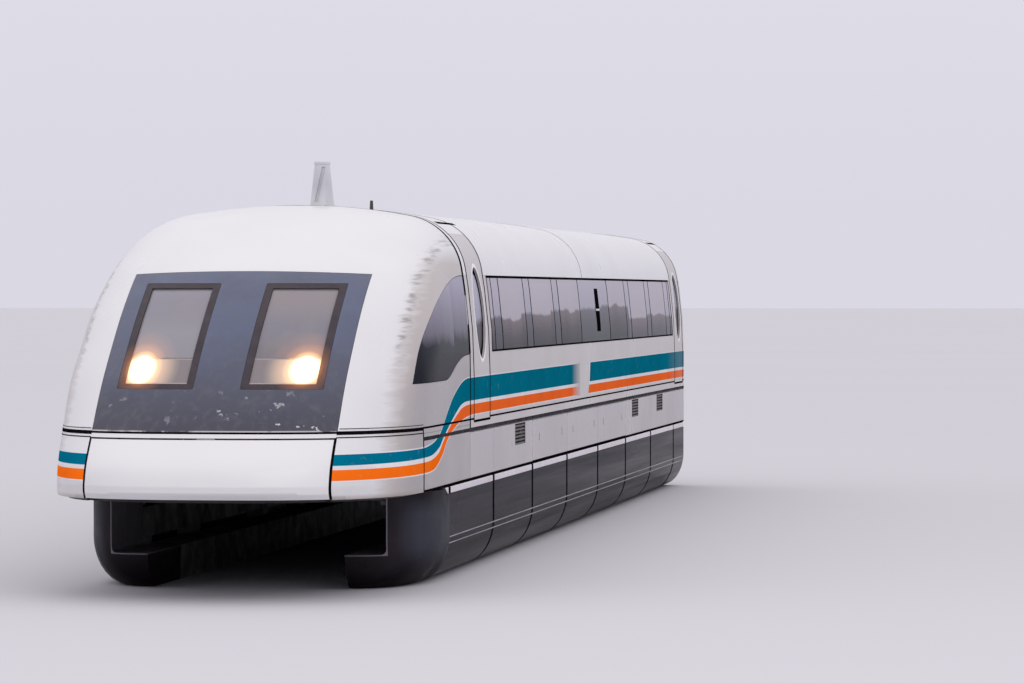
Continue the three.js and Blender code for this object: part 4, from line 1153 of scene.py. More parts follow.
for side, word in SIDES:
    bed = wall_panel(f"band_frame_{word}", side, BAND[0].y, BAND[1].y, BAND[0].z, WALL_TOP - 0.001, 0.0085,
                     WALL - 0.0085, 24)
    carve(bed, [cut_box(side * 1.4, side * 2.0, y0, y1, *WINDOW_Z) for y0, y1 in WINDOWS])
    fit_skin(bed, seal_black, "rubber_black")

    low, high = BAND[0].z + SEAL_FOOT, BAND[1].z - SEAL_TOP
    panes = join([wall_panel("pane", side, y0 - PANE_LAP, y1 + PANE_LAP, low, high, 0.0025, 0.005, 4)
                  for y0, y1 in WINDOWS], f"window_panes_{word}")
    fit_skin(panes, band_glass, "tinted_glass", f"window_band_{word}")

    covers = join([wall_panel("cover", side, y0, y1, low, high, 0.003, 0.0045, 4)
                   for y0, y1 in cover_spans()], f"pillar_covers_{word}")
    fit_skin(covers, cover_paint, "mask_dark")

    seals = [wall_panel("seal", side, BAND[0].y + 0.002, BAND[1].y - 0.002, z0, z1, 0.0010, 0.006, 4)
             for z0, z1 in ((BAND[0].z, low - 0.001), (high + 0.001, WALL_TOP + 0.0005))]
    borders = [(y0 - PANE_LAP, y0 - PANE_LAP + PANE_BORDER) for y0, y1 in WINDOWS]
    borders += [(y1 + PANE_LAP - PANE_BORDER, y1 + PANE_LAP) for y0, y1 in WINDOWS]
    seals += [wall_panel("border", side, y0, y1, low, high, 0.0018, 0.0006, 1) for y0, y1 in borders]
    seals = join(seals, f"band_seals_{word}")
    fit_skin(seals, seal_black, "rubber_black")

    screens = join([wall_panel("display", side, *DISPLAY_Y, z0, z1, 0.0012, 0.0015, 2)
                    for z0, z1 in DISPLAYS], f"blank_displays_{word}")
    fit_skin(screens, display_black, "mask_dark")
    divider = wall_panel(f"display_divider_{word}", side, DISPLAY_Y[0] - 0.02, DISPLAY_Y[1] + 0.02,
                         DISPLAYS[1][1] + 0.002, DISPLAYS[0][0] - 0.002, 0.0010, 0.0015, 1)
    fit(divider, shaded_wall_white, "body_white")


# Roof
# Wide curved aluminium panels from wall to wall, with dark joints across at the doors and the middle.
# A short black gutter slot is let in near each door, just above its upper edge; its black inside is painted
# shade.
ROOF_JOINTS = (DOORS["front"][0].y, DOORS["front"][1].y, 1.650, DOORS["rear"][0].y, DOORS["rear"][1].y)
GUTTER_X = (1.360, 1.410)
GUTTER_FLOOR = 3.745
GUTTERS = ((-7.810, -6.520), (12.400, 13.420))
roof_white = body_white("roof_white", 0.0, (0.735, 0.725, 0.745))


def roof_panel(name, y0, y1, columns=3, depth=PAINT_DEPTH, thickness=WALL):
    """A panel from the right wall over the crown to the left wall."""
    heights = section_heights(2, 2, 26, 20, WALL_TOP + 0.0005, depth)
    heights = np.sort(heights[heights >= WALL_TOP + 0.0005])
    heights = np.concatenate([[WALL_TOP + 0.001], heights[1:]])
    reach = half_width(heights, depth)
    across = np.concatenate([-reach, reach[::-1][1:]])
    level = np.concatenate([heights, heights[::-1][1:]])

    def place(u, v):
        part = np.linspace(0, 1, len(across))
        x = np.interp(u, part, across)
        return x, y0 + (y1 - y0) * v, np.interp(u, part, level)
    return wrap_grid(name, len(across) - 1, columns, place, thickness)


def gutter_boxes(margin, bottom, top):
    return [cut_box(*sorted((side * (GUTTER_X[0] - margin), side * (GUTTER_X[1] + margin))), y0, y1, bottom,
                    top) for y0, y1 in GUTTERS for side in (1, -1)]


ends = [CAB_REAR + GAP / 2, *ROOF_JOINTS, BODY_REAR]
roof_parts = []
for i, (y0, y1) in enumerate(zip(ends, ends[1:])):
    front = y0 + (0.0025 if i else 0)
    rear = y1 - (0.0025 if i < len(ends) - 2 else 0)
    part = roof_panel("roof_part", front, rear)
    if any(abs(y0 - door[0].y) < 0.01 for door in DOORS.values()):
        carve(part, [cut_box(side * 0.7, side * 2.0, y0 - 0.1, y1 + 0.1, 3.0, DOORS["front"][1].z + 0.0008)
                     for side in (1, -1)])
    roof_parts.append(part)
roof = join(roof_parts, "roof_panels")
carve(roof, gutter_boxes(0.0, GUTTER_FLOOR, 3.9))
fit_skin(roof, roof_white, "body_white", "roof_shell")
# Black beds in the slot and a black strip over it stand for the shade inside: painted shade.
gutter_shade = gutter_boxes(-0.001, GUTTER_FLOOR + 0.0003, 3.757)
gutter_shade += [wall_panel("gutter_shade_cover", side, y0 + 0.001, y1 - 0.001, 3.763, 3.790, 0.002, 0.001, 2)
            for y0, y1 in GUTTERS for side in (1, -1)]
gutter_shade = join(gutter_shade, "gutter_shade_beds")
fit(gutter_shade, seal_black, "rubber_black")
roof_seals = [roof_panel("seal", y - wide / 2, y + wide / 2, 1, SEAL_DEPTH, SEAL_WALL)
              for y, wide in ((CAB_REAR, CAB_JOINT), *((y, DOOR_JOINT) for y in ROOF_JOINTS if y != 1.650),
                              (1.650, 0.012))]
roof_seals = join(roof_seals, "roof_seals")
fit_skin(roof_seals, seal_black, "rubber_black")


# Plug doors
# Flush doors with a bonded oval pane in a white rim, a black gasket inside it and a black threshold below.
# They are closed. Each door slides out and back in the real train, so it has no hinge here.
DOOR_OVAL = {"along": 0.625, "height": 2.790, "half_width": 0.350, "half_height": 0.500}
DOOR_WALL = 0.078
# The doors take the walls' darkened white: painted shade.
shaded_door_white = body_white("shaded_door_white", 0.3, SHADED_WALL_TONE, 0.25)
door_glass = window_glass("door_glass", 2.3, 3.3, 0.06,
                          [(0.0, (0.030, 0.028, 0.038)), (0.42, (0.090, 0.080, 0.100)),
                           (0.50, (0.38, 0.38, 0.47)), (1.0, (0.56, 0.56, 0.68))])
PANE_DEPTH = 0.0305
FRIT = 0.070
# The rim is lighter than the body's white: a painted highlight.
rim_highlight_white = Finish("rim_highlight_white", Coat_Weight=0.5, Coat_Roughness=0.06)
rim_highlight_white.mottle(5, (0.90, 0.89, 0.90), (0.84, 0.82, 0.83), 5, spread=(0.35, 0.7))
rim_highlight_white.uneven(0.2, 0.35, 9)


def oval_ring(name, side, start, inner, outer, depth, thickness, lift=0.0, rows=2, columns=72):
    """A ring round the door's oval, from one width outside the pane's edge to another; lift crowns it."""
    def place(u, v):
        turn = -2 * math.pi * u * side
        wide = DOOR_OVAL["half_width"] + inner + (outer - inner) * v
        tall = DOOR_OVAL["half_height"] + inner + (outer - inner) * v
        if inner <= -DOOR_OVAL["half_width"]:
            wide = (DOOR_OVAL["half_width"] + outer) * v
            tall = (DOOR_OVAL["half_height"] + outer) * v
        y = start + DOOR_OVAL["along"] + wide * np.cos(turn)
        z = DOOR_OVAL["height"] + tall * np.sin(turn)
        return side * half_width(z, depth - lift * np.sin(math.pi * v)), y, z
    return wrap_grid(name, columns, rows, place, thickness)


for side, word in SIDES:
    for place_word, (low, high) in DOORS.items():
        start, end = low.y + 0.003, high.y - 0.003
        door = wall_panel(f"door_panel_{place_word}_{word}", side, start, end, low.z + 0.003,
                          high.z - 0.0006, PAINT_DEPTH, DOOR_WALL, 6)
        turns = np.linspace(0, 2 * math.pi, 64, endpoint=False)
        oval = [(low.y + DOOR_OVAL["along"] + DOOR_OVAL["half_width"] * math.cos(t),
                 DOOR_OVAL["height"] + DOOR_OVAL["half_height"] * math.sin(t)) for t in turns]
        carve(door, [prism(oval, "X", *between(side, 1.4, 2.0))])
        fit_skin(door, shaded_door_white, "body_white", f"door_{place_word}_{word}")

        rim = oval_ring(f"door_rim_{place_word}_{word}", side, low.y, 0.000, 0.042, 0.0022, 0.02, 0.0020, 6)
        fit(smooth_sharp(rim, 50), rim_highlight_white, "body_white")
        frit = oval_ring(f"door_pane_border_{place_word}_{word}", side, low.y, -FRIT, -0.001,
                         PANE_DEPTH - 0.0015, 0.001, 0, 4)
        fit(frit, seal_black, "rubber_black")
        glass = oval_ring(f"door_pane_{place_word}_{word}", side, low.y, -1.0, -0.001,
                          PANE_DEPTH, 0.010, 0, 10)
        fit(glass, door_glass, "tinted_glass", f"door_glass_{place_word}_{word}")
        step = wall_panel(f"door_threshold_{place_word}_{word}", side, start + 0.03, end - 0.03,
                          low.z - 0.003 + 0.0005, low.z + 0.024, 0.0005, 0.0012, 2)
        fit(step, seal_black, "rubber_black")


# Equipment bay flaps
# Three flaps on each side cover the equipment bays and swing up on a hinge along their top edge.
# Each has two sunk latches.
LATCHES = (-2.94, -0.91, 0.14, 2.26, 3.25, 5.32)
LATCH_Z = (1.245, 1.335)
# The flaps take the foot panels' darkened white: painted shade.
flap_white = body_white("bay_flap_shaded_white", 0.55, SHADED_FOOT_TONE, 0.25)
for side, word in SIDES:
    for i in (1, 2, 3):
        node = f"bay_flap_{i}_{word}"
        low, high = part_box(node)
        axis = joints[f"{node}_hinge"]["pos_m"]
        panel = wall_panel(f"bay_panel_{i}_{word}", side, low.y, high.y, low.z, axis[2] - 0.001,
                           PAINT_DEPTH, 0.037, 6)
        pockets = [y for y in LATCHES if low.y < y < high.y]
        carve(panel, [cut_box(side * 1.828, side * 2.0, y - 0.022, y + 0.022, *LATCH_Z) for y in pockets])
        fit_skin(panel, flap_white, "body_white", node, body=f"{node}_body")
        paddles = join([cut_box(side * 1.829, side * 1.8455, y - 0.013, y + 0.013, LATCH_Z[0] + 0.008,
                                LATCH_Z[1] - 0.008) for y in pockets], f"bay_latches_{i}_{word}")
        apply_modifier(paddles, "BEVEL", width=0.004, segments=2)
        fit(paddles, vent_paint, "frame_grey", body=f"{node}_body")
        lip = wall_panel(f"bay_lip_{i}_{word}", side, low.y, high.y, low.z + 0.0005, low.z + LIP_HEIGHT,
                         SEAL_DEPTH, SEAL_WALL, 2)
        fit(lip, seal_black, "rubber_black", body=f"{node}_body")
        knuckle(f"bay_hinge_{i}_{word}", (axis[0], low.y, axis[2]), (axis[0], high.y, axis[2]), hinge_steel,
                f"{node}_body", "body_white", 0.22)


# Stripes
# A teal and an orange stripe of film with white edges run round the nose and sweep up along the sides.
# They fade out at the middle of the car and begin again behind a bare gap. Their film is cut at every joint.
FILM_DEPTH = 0.0004
KEYLINE_DEPTH = 0.0009
KEYLINE = 0.012
FADE_Y = (0.05, 0.80)
RESTART = {"teal": (1.80, 1.87), "orange": (1.68, 1.74)}
# Lower and upper edge of each stripe; columns: along, height
STRIPES = {
    "teal": (
        np.array([(-12.95, 1.330), (-11.35, 1.345), (-10.828, 1.360), (-10.391, 1.422), (-10.145, 1.505),
                  (-9.846, 1.598), (-9.281, 1.751), (-8.889, 1.829), (-8.431, 1.850), (13.45, 1.856)]),
        np.array([(-12.95, 1.434), (-11.35, 1.444), (-11.067, 1.456), (-10.683, 1.491), (-10.391, 1.548),
                  (-10.194, 1.617), (-9.831, 1.783), (-9.447, 1.930), (-8.888, 2.058), (-8.431, 2.095),
                  (13.45, 2.102)])),
    "orange": (
        np.array([(-12.95, 1.185), (-11.35, 1.190), (-10.924, 1.196), (-10.586, 1.229), (-10.194, 1.340),
                  (-9.846, 1.487), (-9.400, 1.590), (-8.889, 1.660), (-8.083, 1.700), (13.45, 1.700)]),
        np.array([(-12.95, 1.288), (-11.35, 1.298), (-10.876, 1.311), (-10.440, 1.365), (-10.145, 1.473),
                  (-9.700, 1.615), (-9.225, 1.725), (-8.888, 1.785), (-8.374, 1.810), (13.45, 1.812)])),
}


def stripe_film(name, colour, shaded_side_colour):
    """Printed film in one colour, darker along the side than round the nose as painted shade, dulled and
    spattered, which fades to the walls' shaded white at the middle of the car.
    """
    made = Finish(name, Specular_IOR_Level=0.0)
    along = made.axis("Y")
    print_and_side_shade = made.blend(made.fade(along, -10.4, -9.2), colour, shaded_side_colour)
    clouds = made.blend(made.fade(made.noise(1.4, 5), 0.35, 0.7, 0.0, 0.12), print_and_side_shade, (0.0, 0.0, 0.0))
    spatter = made.blend(made.fade(made.noise(9, 4), 0.62, 0.80, 0, 0.18), clouds, (0.45, 0.43, 0.42))
    fading = made.times(made.fade(along, *FADE_Y), made.math("LESS_THAN", along, 1.2))
    pale = made.math("MAXIMUM", fading, made.fade(along, 11.0, 12.6, 0.0, 0.15))
    made.colour(made.blend(pale, spatter, SHADED_WALL_TONE))
    made.uneven(0.25, 0.42, 3, 4)
    return made


def film_strip(name, side, lower, upper, y0, y1, edge, depth, slant=(0.0, 0.0)):
    """A strip of film between two edge curves; slant moves the foot and the top of its front end."""
    on_nose = y1 <= CAB_REAR + 0.01
    columns = max(2, round((y1 - y0) / 0.06)) if on_nose else 2
    if y0 < -7 and not on_nose:
        columns = 12

    def place(u, v):
        part = u if side > 0 else 1 - u
        front_height = (1 - v) * (lower[0, 1] - edge) + v * (upper[0, 1] + edge)
        first = y0 + slant[0] * (1 - v) + slant[1] * v
        if y0 < -12:
            first = on_front(FLAP_OPENING + 0.002, front_height, depth)
        y = first + (y1 - first) * part
        low = smooth_curve(lower[:, 0], lower[:, 1], y) - edge
        high = smooth_curve(upper[:, 0], upper[:, 1], y) + edge
        z = low + (high - low) * v
        return side * on_side(y, z, depth), y, z
    return wrap_grid(name, columns, 3, place, 0.0004)


# Each film's second colour is its print darkened along the sides: painted shade.
teal_film = stripe_film("teal_film", (0.001, 0.160, 0.262), (0.001, 0.152, 0.228))
orange_film = stripe_film("orange_film", (1.0, 0.175, 0.010), (0.86, 0.140, 0.024))
white_film = stripe_film("white_film", (0.80, 0.79, 0.81), (0.74, 0.73, 0.75))
door_edges = [DOORS["front"][0].y, DOORS["front"][1].y, DOORS["rear"][0].y, DOORS["rear"][1].y]
splits = [-12.95, CHIN_SEAM, CAB_REAR, door_edges[0], door_edges[1], 0.84]
rear_splits = [door_edges[2], door_edges[3], BODY_REAR + 0.004]
for side, word in SIDES:
    spans = [(a + 0.004, b - 0.004) for a, b in zip(splits, splits[1:])]
    rear_spans = [(a + 0.004, b - 0.004) for a, b in zip(rear_splits, rear_splits[1:])]
    for colour, made in (("teal", teal_film), ("orange", orange_film)):
        lower, upper = STRIPES[colour]
        starts = RESTART[colour]
        strips = [film_strip("film", side, lower, upper, y0, y1, 0, FILM_DEPTH) for y0, y1 in spans]
        strips.append(film_strip("film", side, lower, upper, starts[0], rear_splits[0] - 0.004, 0,
                                 FILM_DEPTH, (0, starts[1] - starts[0])))
        strips += [film_strip("film", side, lower, upper, y0, y1, 0, FILM_DEPTH) for y0, y1 in rear_spans]
        film = join(strips, f"{colour}_stripe_{word}")
        fit_skin(film, made, "body_white")
    whole = (STRIPES["orange"][0], STRIPES["teal"][1])
    keyline_spans = spans + [(1.70, rear_splits[0] - 0.004)] + rear_spans
    keylines = [film_strip("film", side, *whole, y0, y1, KEYLINE, KEYLINE_DEPTH)
                for y0, y1 in keyline_spans]
    keylines = join(keylines, f"stripe_keylines_{word}")
    fit_skin(keylines, white_film, "body_white")


# Belly pan and sill strips
# Flat aluminium pans close the car from below, set back under the nose so that its flap can swing.
# A pale extruded sill runs along both edges, jointed where the running gear's modules meet.
PAN_STEP = -9.950
pan_low, pan_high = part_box("belly_pan")
SILL_TOP = 0.985
SILL_TIP = -9.990
SILL_JOINT = 0.070


def bevel_edges(obj, width, segments=2, angle=40):
    return apply_modifier(obj, "BEVEL", width=width, segments=segments, limit_method="ANGLE",
                          angle_limit=math.radians(angle))


def pan_plate(inset):
    turns = np.linspace(math.pi, 0, 60)
    x, y = round_nose(turns, np.full(60, BODY_BOTTOM), inset)
    outline = [(x[0], -9.70), *zip(x, y), (x[-1], -9.70)]
    return prism(outline, "Z", pan_high.z - 0.0235, pan_high.z - 0.001)


pan_front = pan_plate(0.113)
carve(pan_front, [cut_box(-1.211, 1.211, -14, -11, 0.9, 1.1)])
carve(pan_front, [pan_plate(0.173)], "UNION")
pan_rear = cut_box(-1.795, 1.795, PAN_STEP + 0.002, pan_high.y - 0.001, pan_low.z + 0.012,
                   pan_high.z - 0.001)
pan = join([pan_front, pan_rear], "belly_pan_plates")
carve(pan, [cut_box(-1.9, 1.9, y - 0.004, y + 0.004, 0.90, 0.95) for y in MODULE_JOINTS[1:]])
bevel_edges(pan, 0.006)
pan_paint = Finish("pan_paint", Metallic=0.1)
pan_tone = pan_paint.blend(pan_paint.fade(pan_paint.noise(0.9, 6), 0.35, 0.7, 0, 0.7),
                           (0.115, 0.120, 0.150), (0.060, 0.058, 0.066))
# Towards the front, under the nose, the pan turns near black: painted shade.
pan_nose_shade = pan_paint.fade(pan_paint.axis("Y"), -11.15, -11.6)
pan_paint.colour(pan_paint.blend(pan_nose_shade, pan_tone, (0.006, 0.006, 0.007)))
pan_paint.uneven(0.35, 0.6, 5)
pan_paint.bump(pan_paint.noise(3, 3), 0.002, 0.3)
fit(pan, pan_paint, "pan_grey", "belly_pan")

sill_paint = Finish("sill_paint", Coat_Weight=0.2, Coat_Roughness=0.1)
sill_tone = sill_paint.ramp(sill_paint.noise(1.2, 6, (1, 0.5, 3)),
                            [(0.35, (0.70, 0.66, 0.72)), (0.7, (0.60, 0.56, 0.62))])
sill_paint.colour(sill_paint.blend(sill_paint.fade(sill_paint.noise(6, 4), 0.60, 0.80, 0, 0.3), sill_tone,
                                   (0.30, 0.28, 0.28)))
sill_paint.uneven(0.3, 0.5, 6)
for side, word in SIDES:
    outer = side * (HALF_WIDTH - 0.001)
    inner = side * 1.797
    strips = []
    edges = MODULE_JOINTS + [BODY_REAR]
    for y0, y1 in zip(edges, edges[1:]):
        if y1 - y0 < 0.1:
            continue
        strips.append(prism([(inner, 0.917), (side * 1.846, 0.917), (outer, 0.921),
                             (outer, SILL_TOP - 0.010), (side * 1.843, SILL_TOP), (inner, SILL_TOP)], "Y",
                            y0 + SILL_JOINT, y1 - SILL_JOINT))
    tip = prism([(SILL_TIP - 0.02, SILL_TOP), (MODULE_START - SILL_JOINT, SILL_TOP),
                 (MODULE_START - SILL_JOINT, 0.917), (SILL_TIP + 0.17, 0.917)], "X",
                *between(side, 1.797, 1.848))
    strips.append(tip)
    sill = join(strips, f"sill_strip_{word}")
    bevel_edges(sill, 0.003)
    fit(sill, sill_paint, "body_white")
    # The recess over the sill is filled with a black box: painted shade.
    recess = cut_box(side * 1.797, side * 1.838, PAN_STEP + 0.01, BODY_REAR - 0.002, SILL_TOP + 0.001,
                     pan_high.z - 0.001)
    plugs = [cut_box(side * 1.797, side * 1.8485, y - SILL_JOINT + 0.001, y + SILL_JOINT - 0.001, 0.918,
                     SILL_TOP - 0.001) for y in MODULE_JOINTS[:-1]]
    recess = join([recess, *plugs], f"sill_recess_shade_{word}")
    fit(recess, seal_black, "rubber_black")


# Skirts
# Glossy dark glass-fibre covers over the running gear, one to a module, rounded in towards the foot.
# Two light strips run along them as painted highlights of ledges, and black joints part them.
SKIRT_ROUND = (0.350, 0.500)
SKIRT_WALL = 0.036
SKIRT_DEPTH = 0.004
SKIRT_EDGE = 0.055
SKIRT_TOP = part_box("skirt_left")[1].z
GLOSS_TINT = (0.06, 0.06, 0.06, 1)
skirt_paint = Finish("skirt_paint", Metallic=0.55, Specular_Tint=GLOSS_TINT, Specular_IOR_Level=0.01)
# Darkest at the foot, where the cover turns under: painted shade.
skirt_up = skirt_paint.fade(skirt_paint.axis("Z"), 0.10, 0.92)
skirt_height_shade = skirt_paint.ramp(skirt_up,
                              [(0.0, (0.008, 0.006, 0.008)), (0.25, (0.024, 0.020, 0.024)),
                               (0.5, (0.086, 0.076, 0.088)), (0.75, (0.052, 0.050, 0.068)),
                               (1.0, (0.030, 0.031, 0.046))])
skirt_dust = skirt_paint.fade(skirt_paint.noise(1.8, 6, (1, 0.05, 4.0)), 0.46, 0.64, 0, 0.55)
skirt_dusty = skirt_paint.blend(skirt_dust, skirt_height_shade, (0.115, 0.102, 0.118))
skirt_stain = skirt_paint.fade(skirt_paint.noise(2.6, 6, (1, 0.05, 3.0)), 0.50, 0.66, 0, 0.55)
skirt_paint.colour(skirt_paint.blend(skirt_stain, skirt_dusty, (0.018, 0.015, 0.019)))
skirt_paint.roughness(skirt_paint.fade(skirt_paint.noise(2.2, 5, (1, 0.05, 3)), 0.3, 0.75, 0.12, 0.30))
# Light strips stand for the highlights on two ledges: painted highlight.
skirt_ledge_highlight = Finish("skirt_ledge_highlight_paint", Metallic=0.3, Specular_IOR_Level=0.2)
skirt_ledge_highlight.mottle(4, (0.34, 0.33, 0.37), (0.17, 0.16, 0.18), 5, (1, 0.3, 1), spread=(0.35, 0.7))
skirt_ledge_highlight.uneven(0.25, 0.5, 9)


def skirt_curve(depth, start=90.0, end=0.0, steps=22):
    """Points across the skirt's rounded foot, from the lowest upwards, set in from its surface."""
    turns = np.radians(np.linspace(start, end, steps))
    x = HALF_WIDTH - SKIRT_ROUND[0] + (SKIRT_ROUND[0] - depth) * np.cos(turns)
    z = SKIRT_ROUND[1] - (SKIRT_ROUND[1] - depth) * np.sin(turns)
    return x, z


def skirt_strip(name, side, y0, y1, x, z, thickness, columns=2):
    def place(u, v):
        part = np.linspace(0, 1, len(x))
        along = u if side > 0 else 1 - u
        return side * np.interp(v, part, x), y0 + (y1 - y0) * along, np.interp(v, part, z)
    return wrap_grid(name, columns, len(x) - 1, place, thickness)


def turn_at(height):
    """The angle of the skirt's foot curve at a height."""
    return math.degrees(math.asin((SKIRT_ROUND[1] - height) / SKIRT_ROUND[1]))


for side, word in SIDES:
    curve_x, curve_z = skirt_curve(SKIRT_DEPTH)
    x = np.append(curve_x, [HALF_WIDTH - SKIRT_DEPTH] * 2)
    z = np.append(curve_z, [0.70, SKIRT_TOP - 0.002])
    edges = MODULE_JOINTS + [BODY_REAR]
    spans = [(a + 0.005, b - 0.005) for a, b in zip(edges, edges[1:]) if b - a > 0.1]
    skirt = join([skirt_strip("cover", side, y0, y1, x, z, SKIRT_WALL) for y0, y1 in spans],
                 f"skirt_covers_{word}")
    smooth_sharp(skirt)
    fit(skirt, skirt_paint, "skirt_dark", f"skirt_{word}")
    strips = []
    for low, high in ((0.458, 0.470), (0.392, 0.404)):
        x, z = skirt_curve(0.0008, turn_at(low), turn_at(high), 3)
        strips += [skirt_strip("strip", side, y0, y1, x, z, 0.003) for y0, y1 in spans]
    strip = join(strips, f"skirt_ledge_highlights_{word}")
    fit(strip, skirt_ledge_highlight, "frame_grey")
    open_joints = [y for y in MODULE_JOINTS[1:] if y < BODY_REAR - 0.02]
    x, z = skirt_curve(0.018)
    x = np.append(x, HALF_WIDTH - 0.018)
    z = np.append(z, SKIRT_TOP - 0.004)
    backing = [skirt_strip("filler", side, y - 0.0048, y + 0.0048, x, z, 0.012) for y in open_joints]
    x, z = skirt_curve(SKIRT_DEPTH - 0.0012)
    x = np.append(x, HALF_WIDTH - SKIRT_DEPTH + 0.0012)
    z = np.append(z, SKIRT_TOP - 0.004)
    backing += [skirt_strip("edge", side, *sorted((y + part * 0.0055, y + part * SKIRT_EDGE)), x, z,
                            0.0011) for y in open_joints for part in (1, -1)]
    backing = join(backing, f"skirt_joints_{word}")
    fit(backing, seal_black, "rubber_black")


# Skirt fairings
# A solid dark moulding closes the front of each skirt and rounds in to the guideway's slot.
# The slot's edge is bright: a painted highlight.
SLOT_WALL = 1.425
SLOT_FLOOR = 0.354
SLOT_CORNER = 0.055
FAIRING_INNER = 1.020
FAIRING_ROUNDNESS = 2.28
fairing_low, fairing_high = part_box("skirt_fairing_left")
fairing_paint = Finish("fairing_paint", Metallic=0.4, Specular_Tint=GLOSS_TINT, Specular_IOR_Level=0.06)
# Darker towards the foot, where the moulding turns under: painted shade.
fairing_height_shade = fairing_paint.ramp(fairing_paint.fade(fairing_paint.axis("Z"), 0.05, 0.95),
                                  [(0.0, (0.007, 0.005, 0.007)), (0.5, (0.028, 0.023, 0.029)),
                                   (1.0, (0.022, 0.019, 0.023))])
fairing_dust_and_highlight = fairing_paint.blend(fairing_paint.fade(fairing_paint.noise(1.4, 5), 0.45, 0.75, 0, 0.4),
                                   fairing_height_shade, (0.055, 0.050, 0.056))
# A lighter bluish patch on the outer part: painted highlight.
fairing_wide = fairing_paint.math("ABSOLUTE", fairing_paint.axis("X"))
fairing_height = fairing_paint.axis("Z")
fairing_level = fairing_paint.times(fairing_paint.fade(fairing_height, 0.15, 0.40),
                                    fairing_paint.fade(fairing_height, 0.95, 0.75))
fairing_outer_highlight = fairing_paint.times(fairing_paint.fade(fairing_wide, 1.52, 1.70), fairing_level)
fairing_dust_and_highlight = fairing_paint.blend(fairing_outer_highlight, fairing_dust_and_highlight, (0.056, 0.060, 0.080))
# A bright line round the slot's edge: painted highlight.
past_wall = fairing_paint.math("SUBTRACT", fairing_wide, SLOT_WALL)
past_floor = fairing_paint.math("SUBTRACT", SLOT_FLOOR, fairing_paint.axis("Z"))
slot_edge_highlight = fairing_paint.math("LESS_THAN", fairing_paint.math("MAXIMUM", past_wall, past_floor), 0.011)
fairing_paint.colour(fairing_paint.blend(slot_edge_highlight, fairing_dust_and_highlight, (0.17, 0.16, 0.175)))
fairing_paint.uneven(0.25, 0.5, 3, 5)


def loft(name, rings):
    """A closed solid through rings of points, each ring with as many points as the next."""
    size = len(rings[0])
    points = [tuple(point) for ring in rings for point in ring]
    faces = [(level * size + i, level * size + (i + 1) % size, (level + 1) * size + (i + 1) % size,
              (level + 1) * size + i) for level in range(len(rings) - 1) for i in range(size)]
    faces += [tuple(range(size)), tuple(range(len(points) - size, len(points)))]
    mesh = bpy.data.meshes.new(name)
    mesh.from_pydata(points, [], faces)
    solid = bpy.data.objects.new(name, mesh)
    bpy.context.scene.collection.objects.link(solid)
    edit(solid, face_out)
    return solid


def fairing_ring(side, height, depth):
    rise = min(height, SKIRT_ROUND[1])
    drop = (SKIRT_ROUND[1] - rise) / SKIRT_ROUND[1]
    inset = SKIRT_ROUND[0] * (1 - math.sqrt(max(1 - drop**2, 0))) + depth
    rear = fairing_high.y
    turns = np.linspace(0, math.pi / 2, 34)
    across = (HALF_WIDTH - inset - FAIRING_INNER) * np.sin(turns)**(2 / FAIRING_ROUNDNESS)
    along = (rear - fairing_low.y - inset) * np.maximum(np.cos(turns), 0)**(2 / FAIRING_ROUNDNESS)
    ring = [(side * (FAIRING_INNER + a), rear - b, height) for a, b in zip(across, along)]
    return ring + [(side * FAIRING_INNER, rear, height)]


for side, word in SIDES:
    curve = SKIRT_ROUND[1] * (1 - np.sin(np.radians(np.linspace(86, 0, 18))))
    heights = [fairing_low.z + 0.0005, *curve[1:], 0.72, fairing_high.z - 0.001]
    fairing = loft(f"skirt_fairing_body_{word}", [fairing_ring(side, z, 0.002) for z in heights])
    corner = [(side * (SLOT_WALL - SLOT_CORNER + SLOT_CORNER * math.cos(t)),
               SLOT_FLOOR + SLOT_CORNER + SLOT_CORNER * math.sin(t))
              for t in np.radians(np.linspace(-90, 0, 8))]
    carve(fairing, [prism([(0, SLOT_FLOOR), *corner, (side * SLOT_WALL, 2.0), (0, 2.0)], "Y", -12, -9)])
    carve(fairing, [cut_box(0, side * 2.0, PAN_STEP - 0.0005, -9.0, 0.9145, 2.0)])
    smooth_sharp(fairing, 40)
    fit(fairing, fairing_paint, "skirt_dark", f"skirt_fairing_{word}")


# Running gear
# Welded steel frames over the guideway carry the levitation and guidance magnets.
# Their CAD shapes stay, with paint, dust and oily stains.
def dirty_metal(name, clean, dirt, metallic, scale=2.0):
    made = Finish(name, Metallic=metallic)
    tone = made.blend(made.fade(made.noise(scale, 6), 0.38, 0.68), clean, dirt)
    fine = made.blend(made.fade(made.noise(scale * 9, 4), 0.55, 0.75, 0, 0.5), tone, (0.05, 0.04, 0.035))
    made.colour(fine)
    made.roughness(made.fade(made.noise(scale * 3), 0.3, 0.7, 0.35, 0.65))
    made.bump(made.noise(scale * 20, 3), 0.0015, 0.3)
    return made


frame_grey = dirty_metal("frame_grey_paint", (0.20, 0.21, 0.23), (0.10, 0.095, 0.09), 0.2)
magnet_steel = dirty_metal("magnet_casing", (0.30, 0.30, 0.31), (0.12, 0.10, 0.085), 0.7, 3.0)
coupler_steel = dirty_metal("coupler_casting", (0.10, 0.10, 0.105), (0.05, 0.045, 0.04), 0.6, 4.0)
for i in (1, 2, 3, 4):
    dress(bpy.data.objects[f"levitation_frame_{i}"], frame_grey)
for side, word in SIDES:
    for kind in ("levitation", "guidance"):
        dress(bpy.data.objects[f"{kind}_magnets_{word}"], magnet_steel)
dress(bpy.data.objects["emergency_coupler"], coupler_steel)


# Aerials
# A tapered white radio aerial on a flange behind the cab, and a small black one further back.
# The white one has a cap and a sunk panel on its front.
aerial_low, aerial_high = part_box("aerial")
small_low, small_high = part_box("small_aerial")


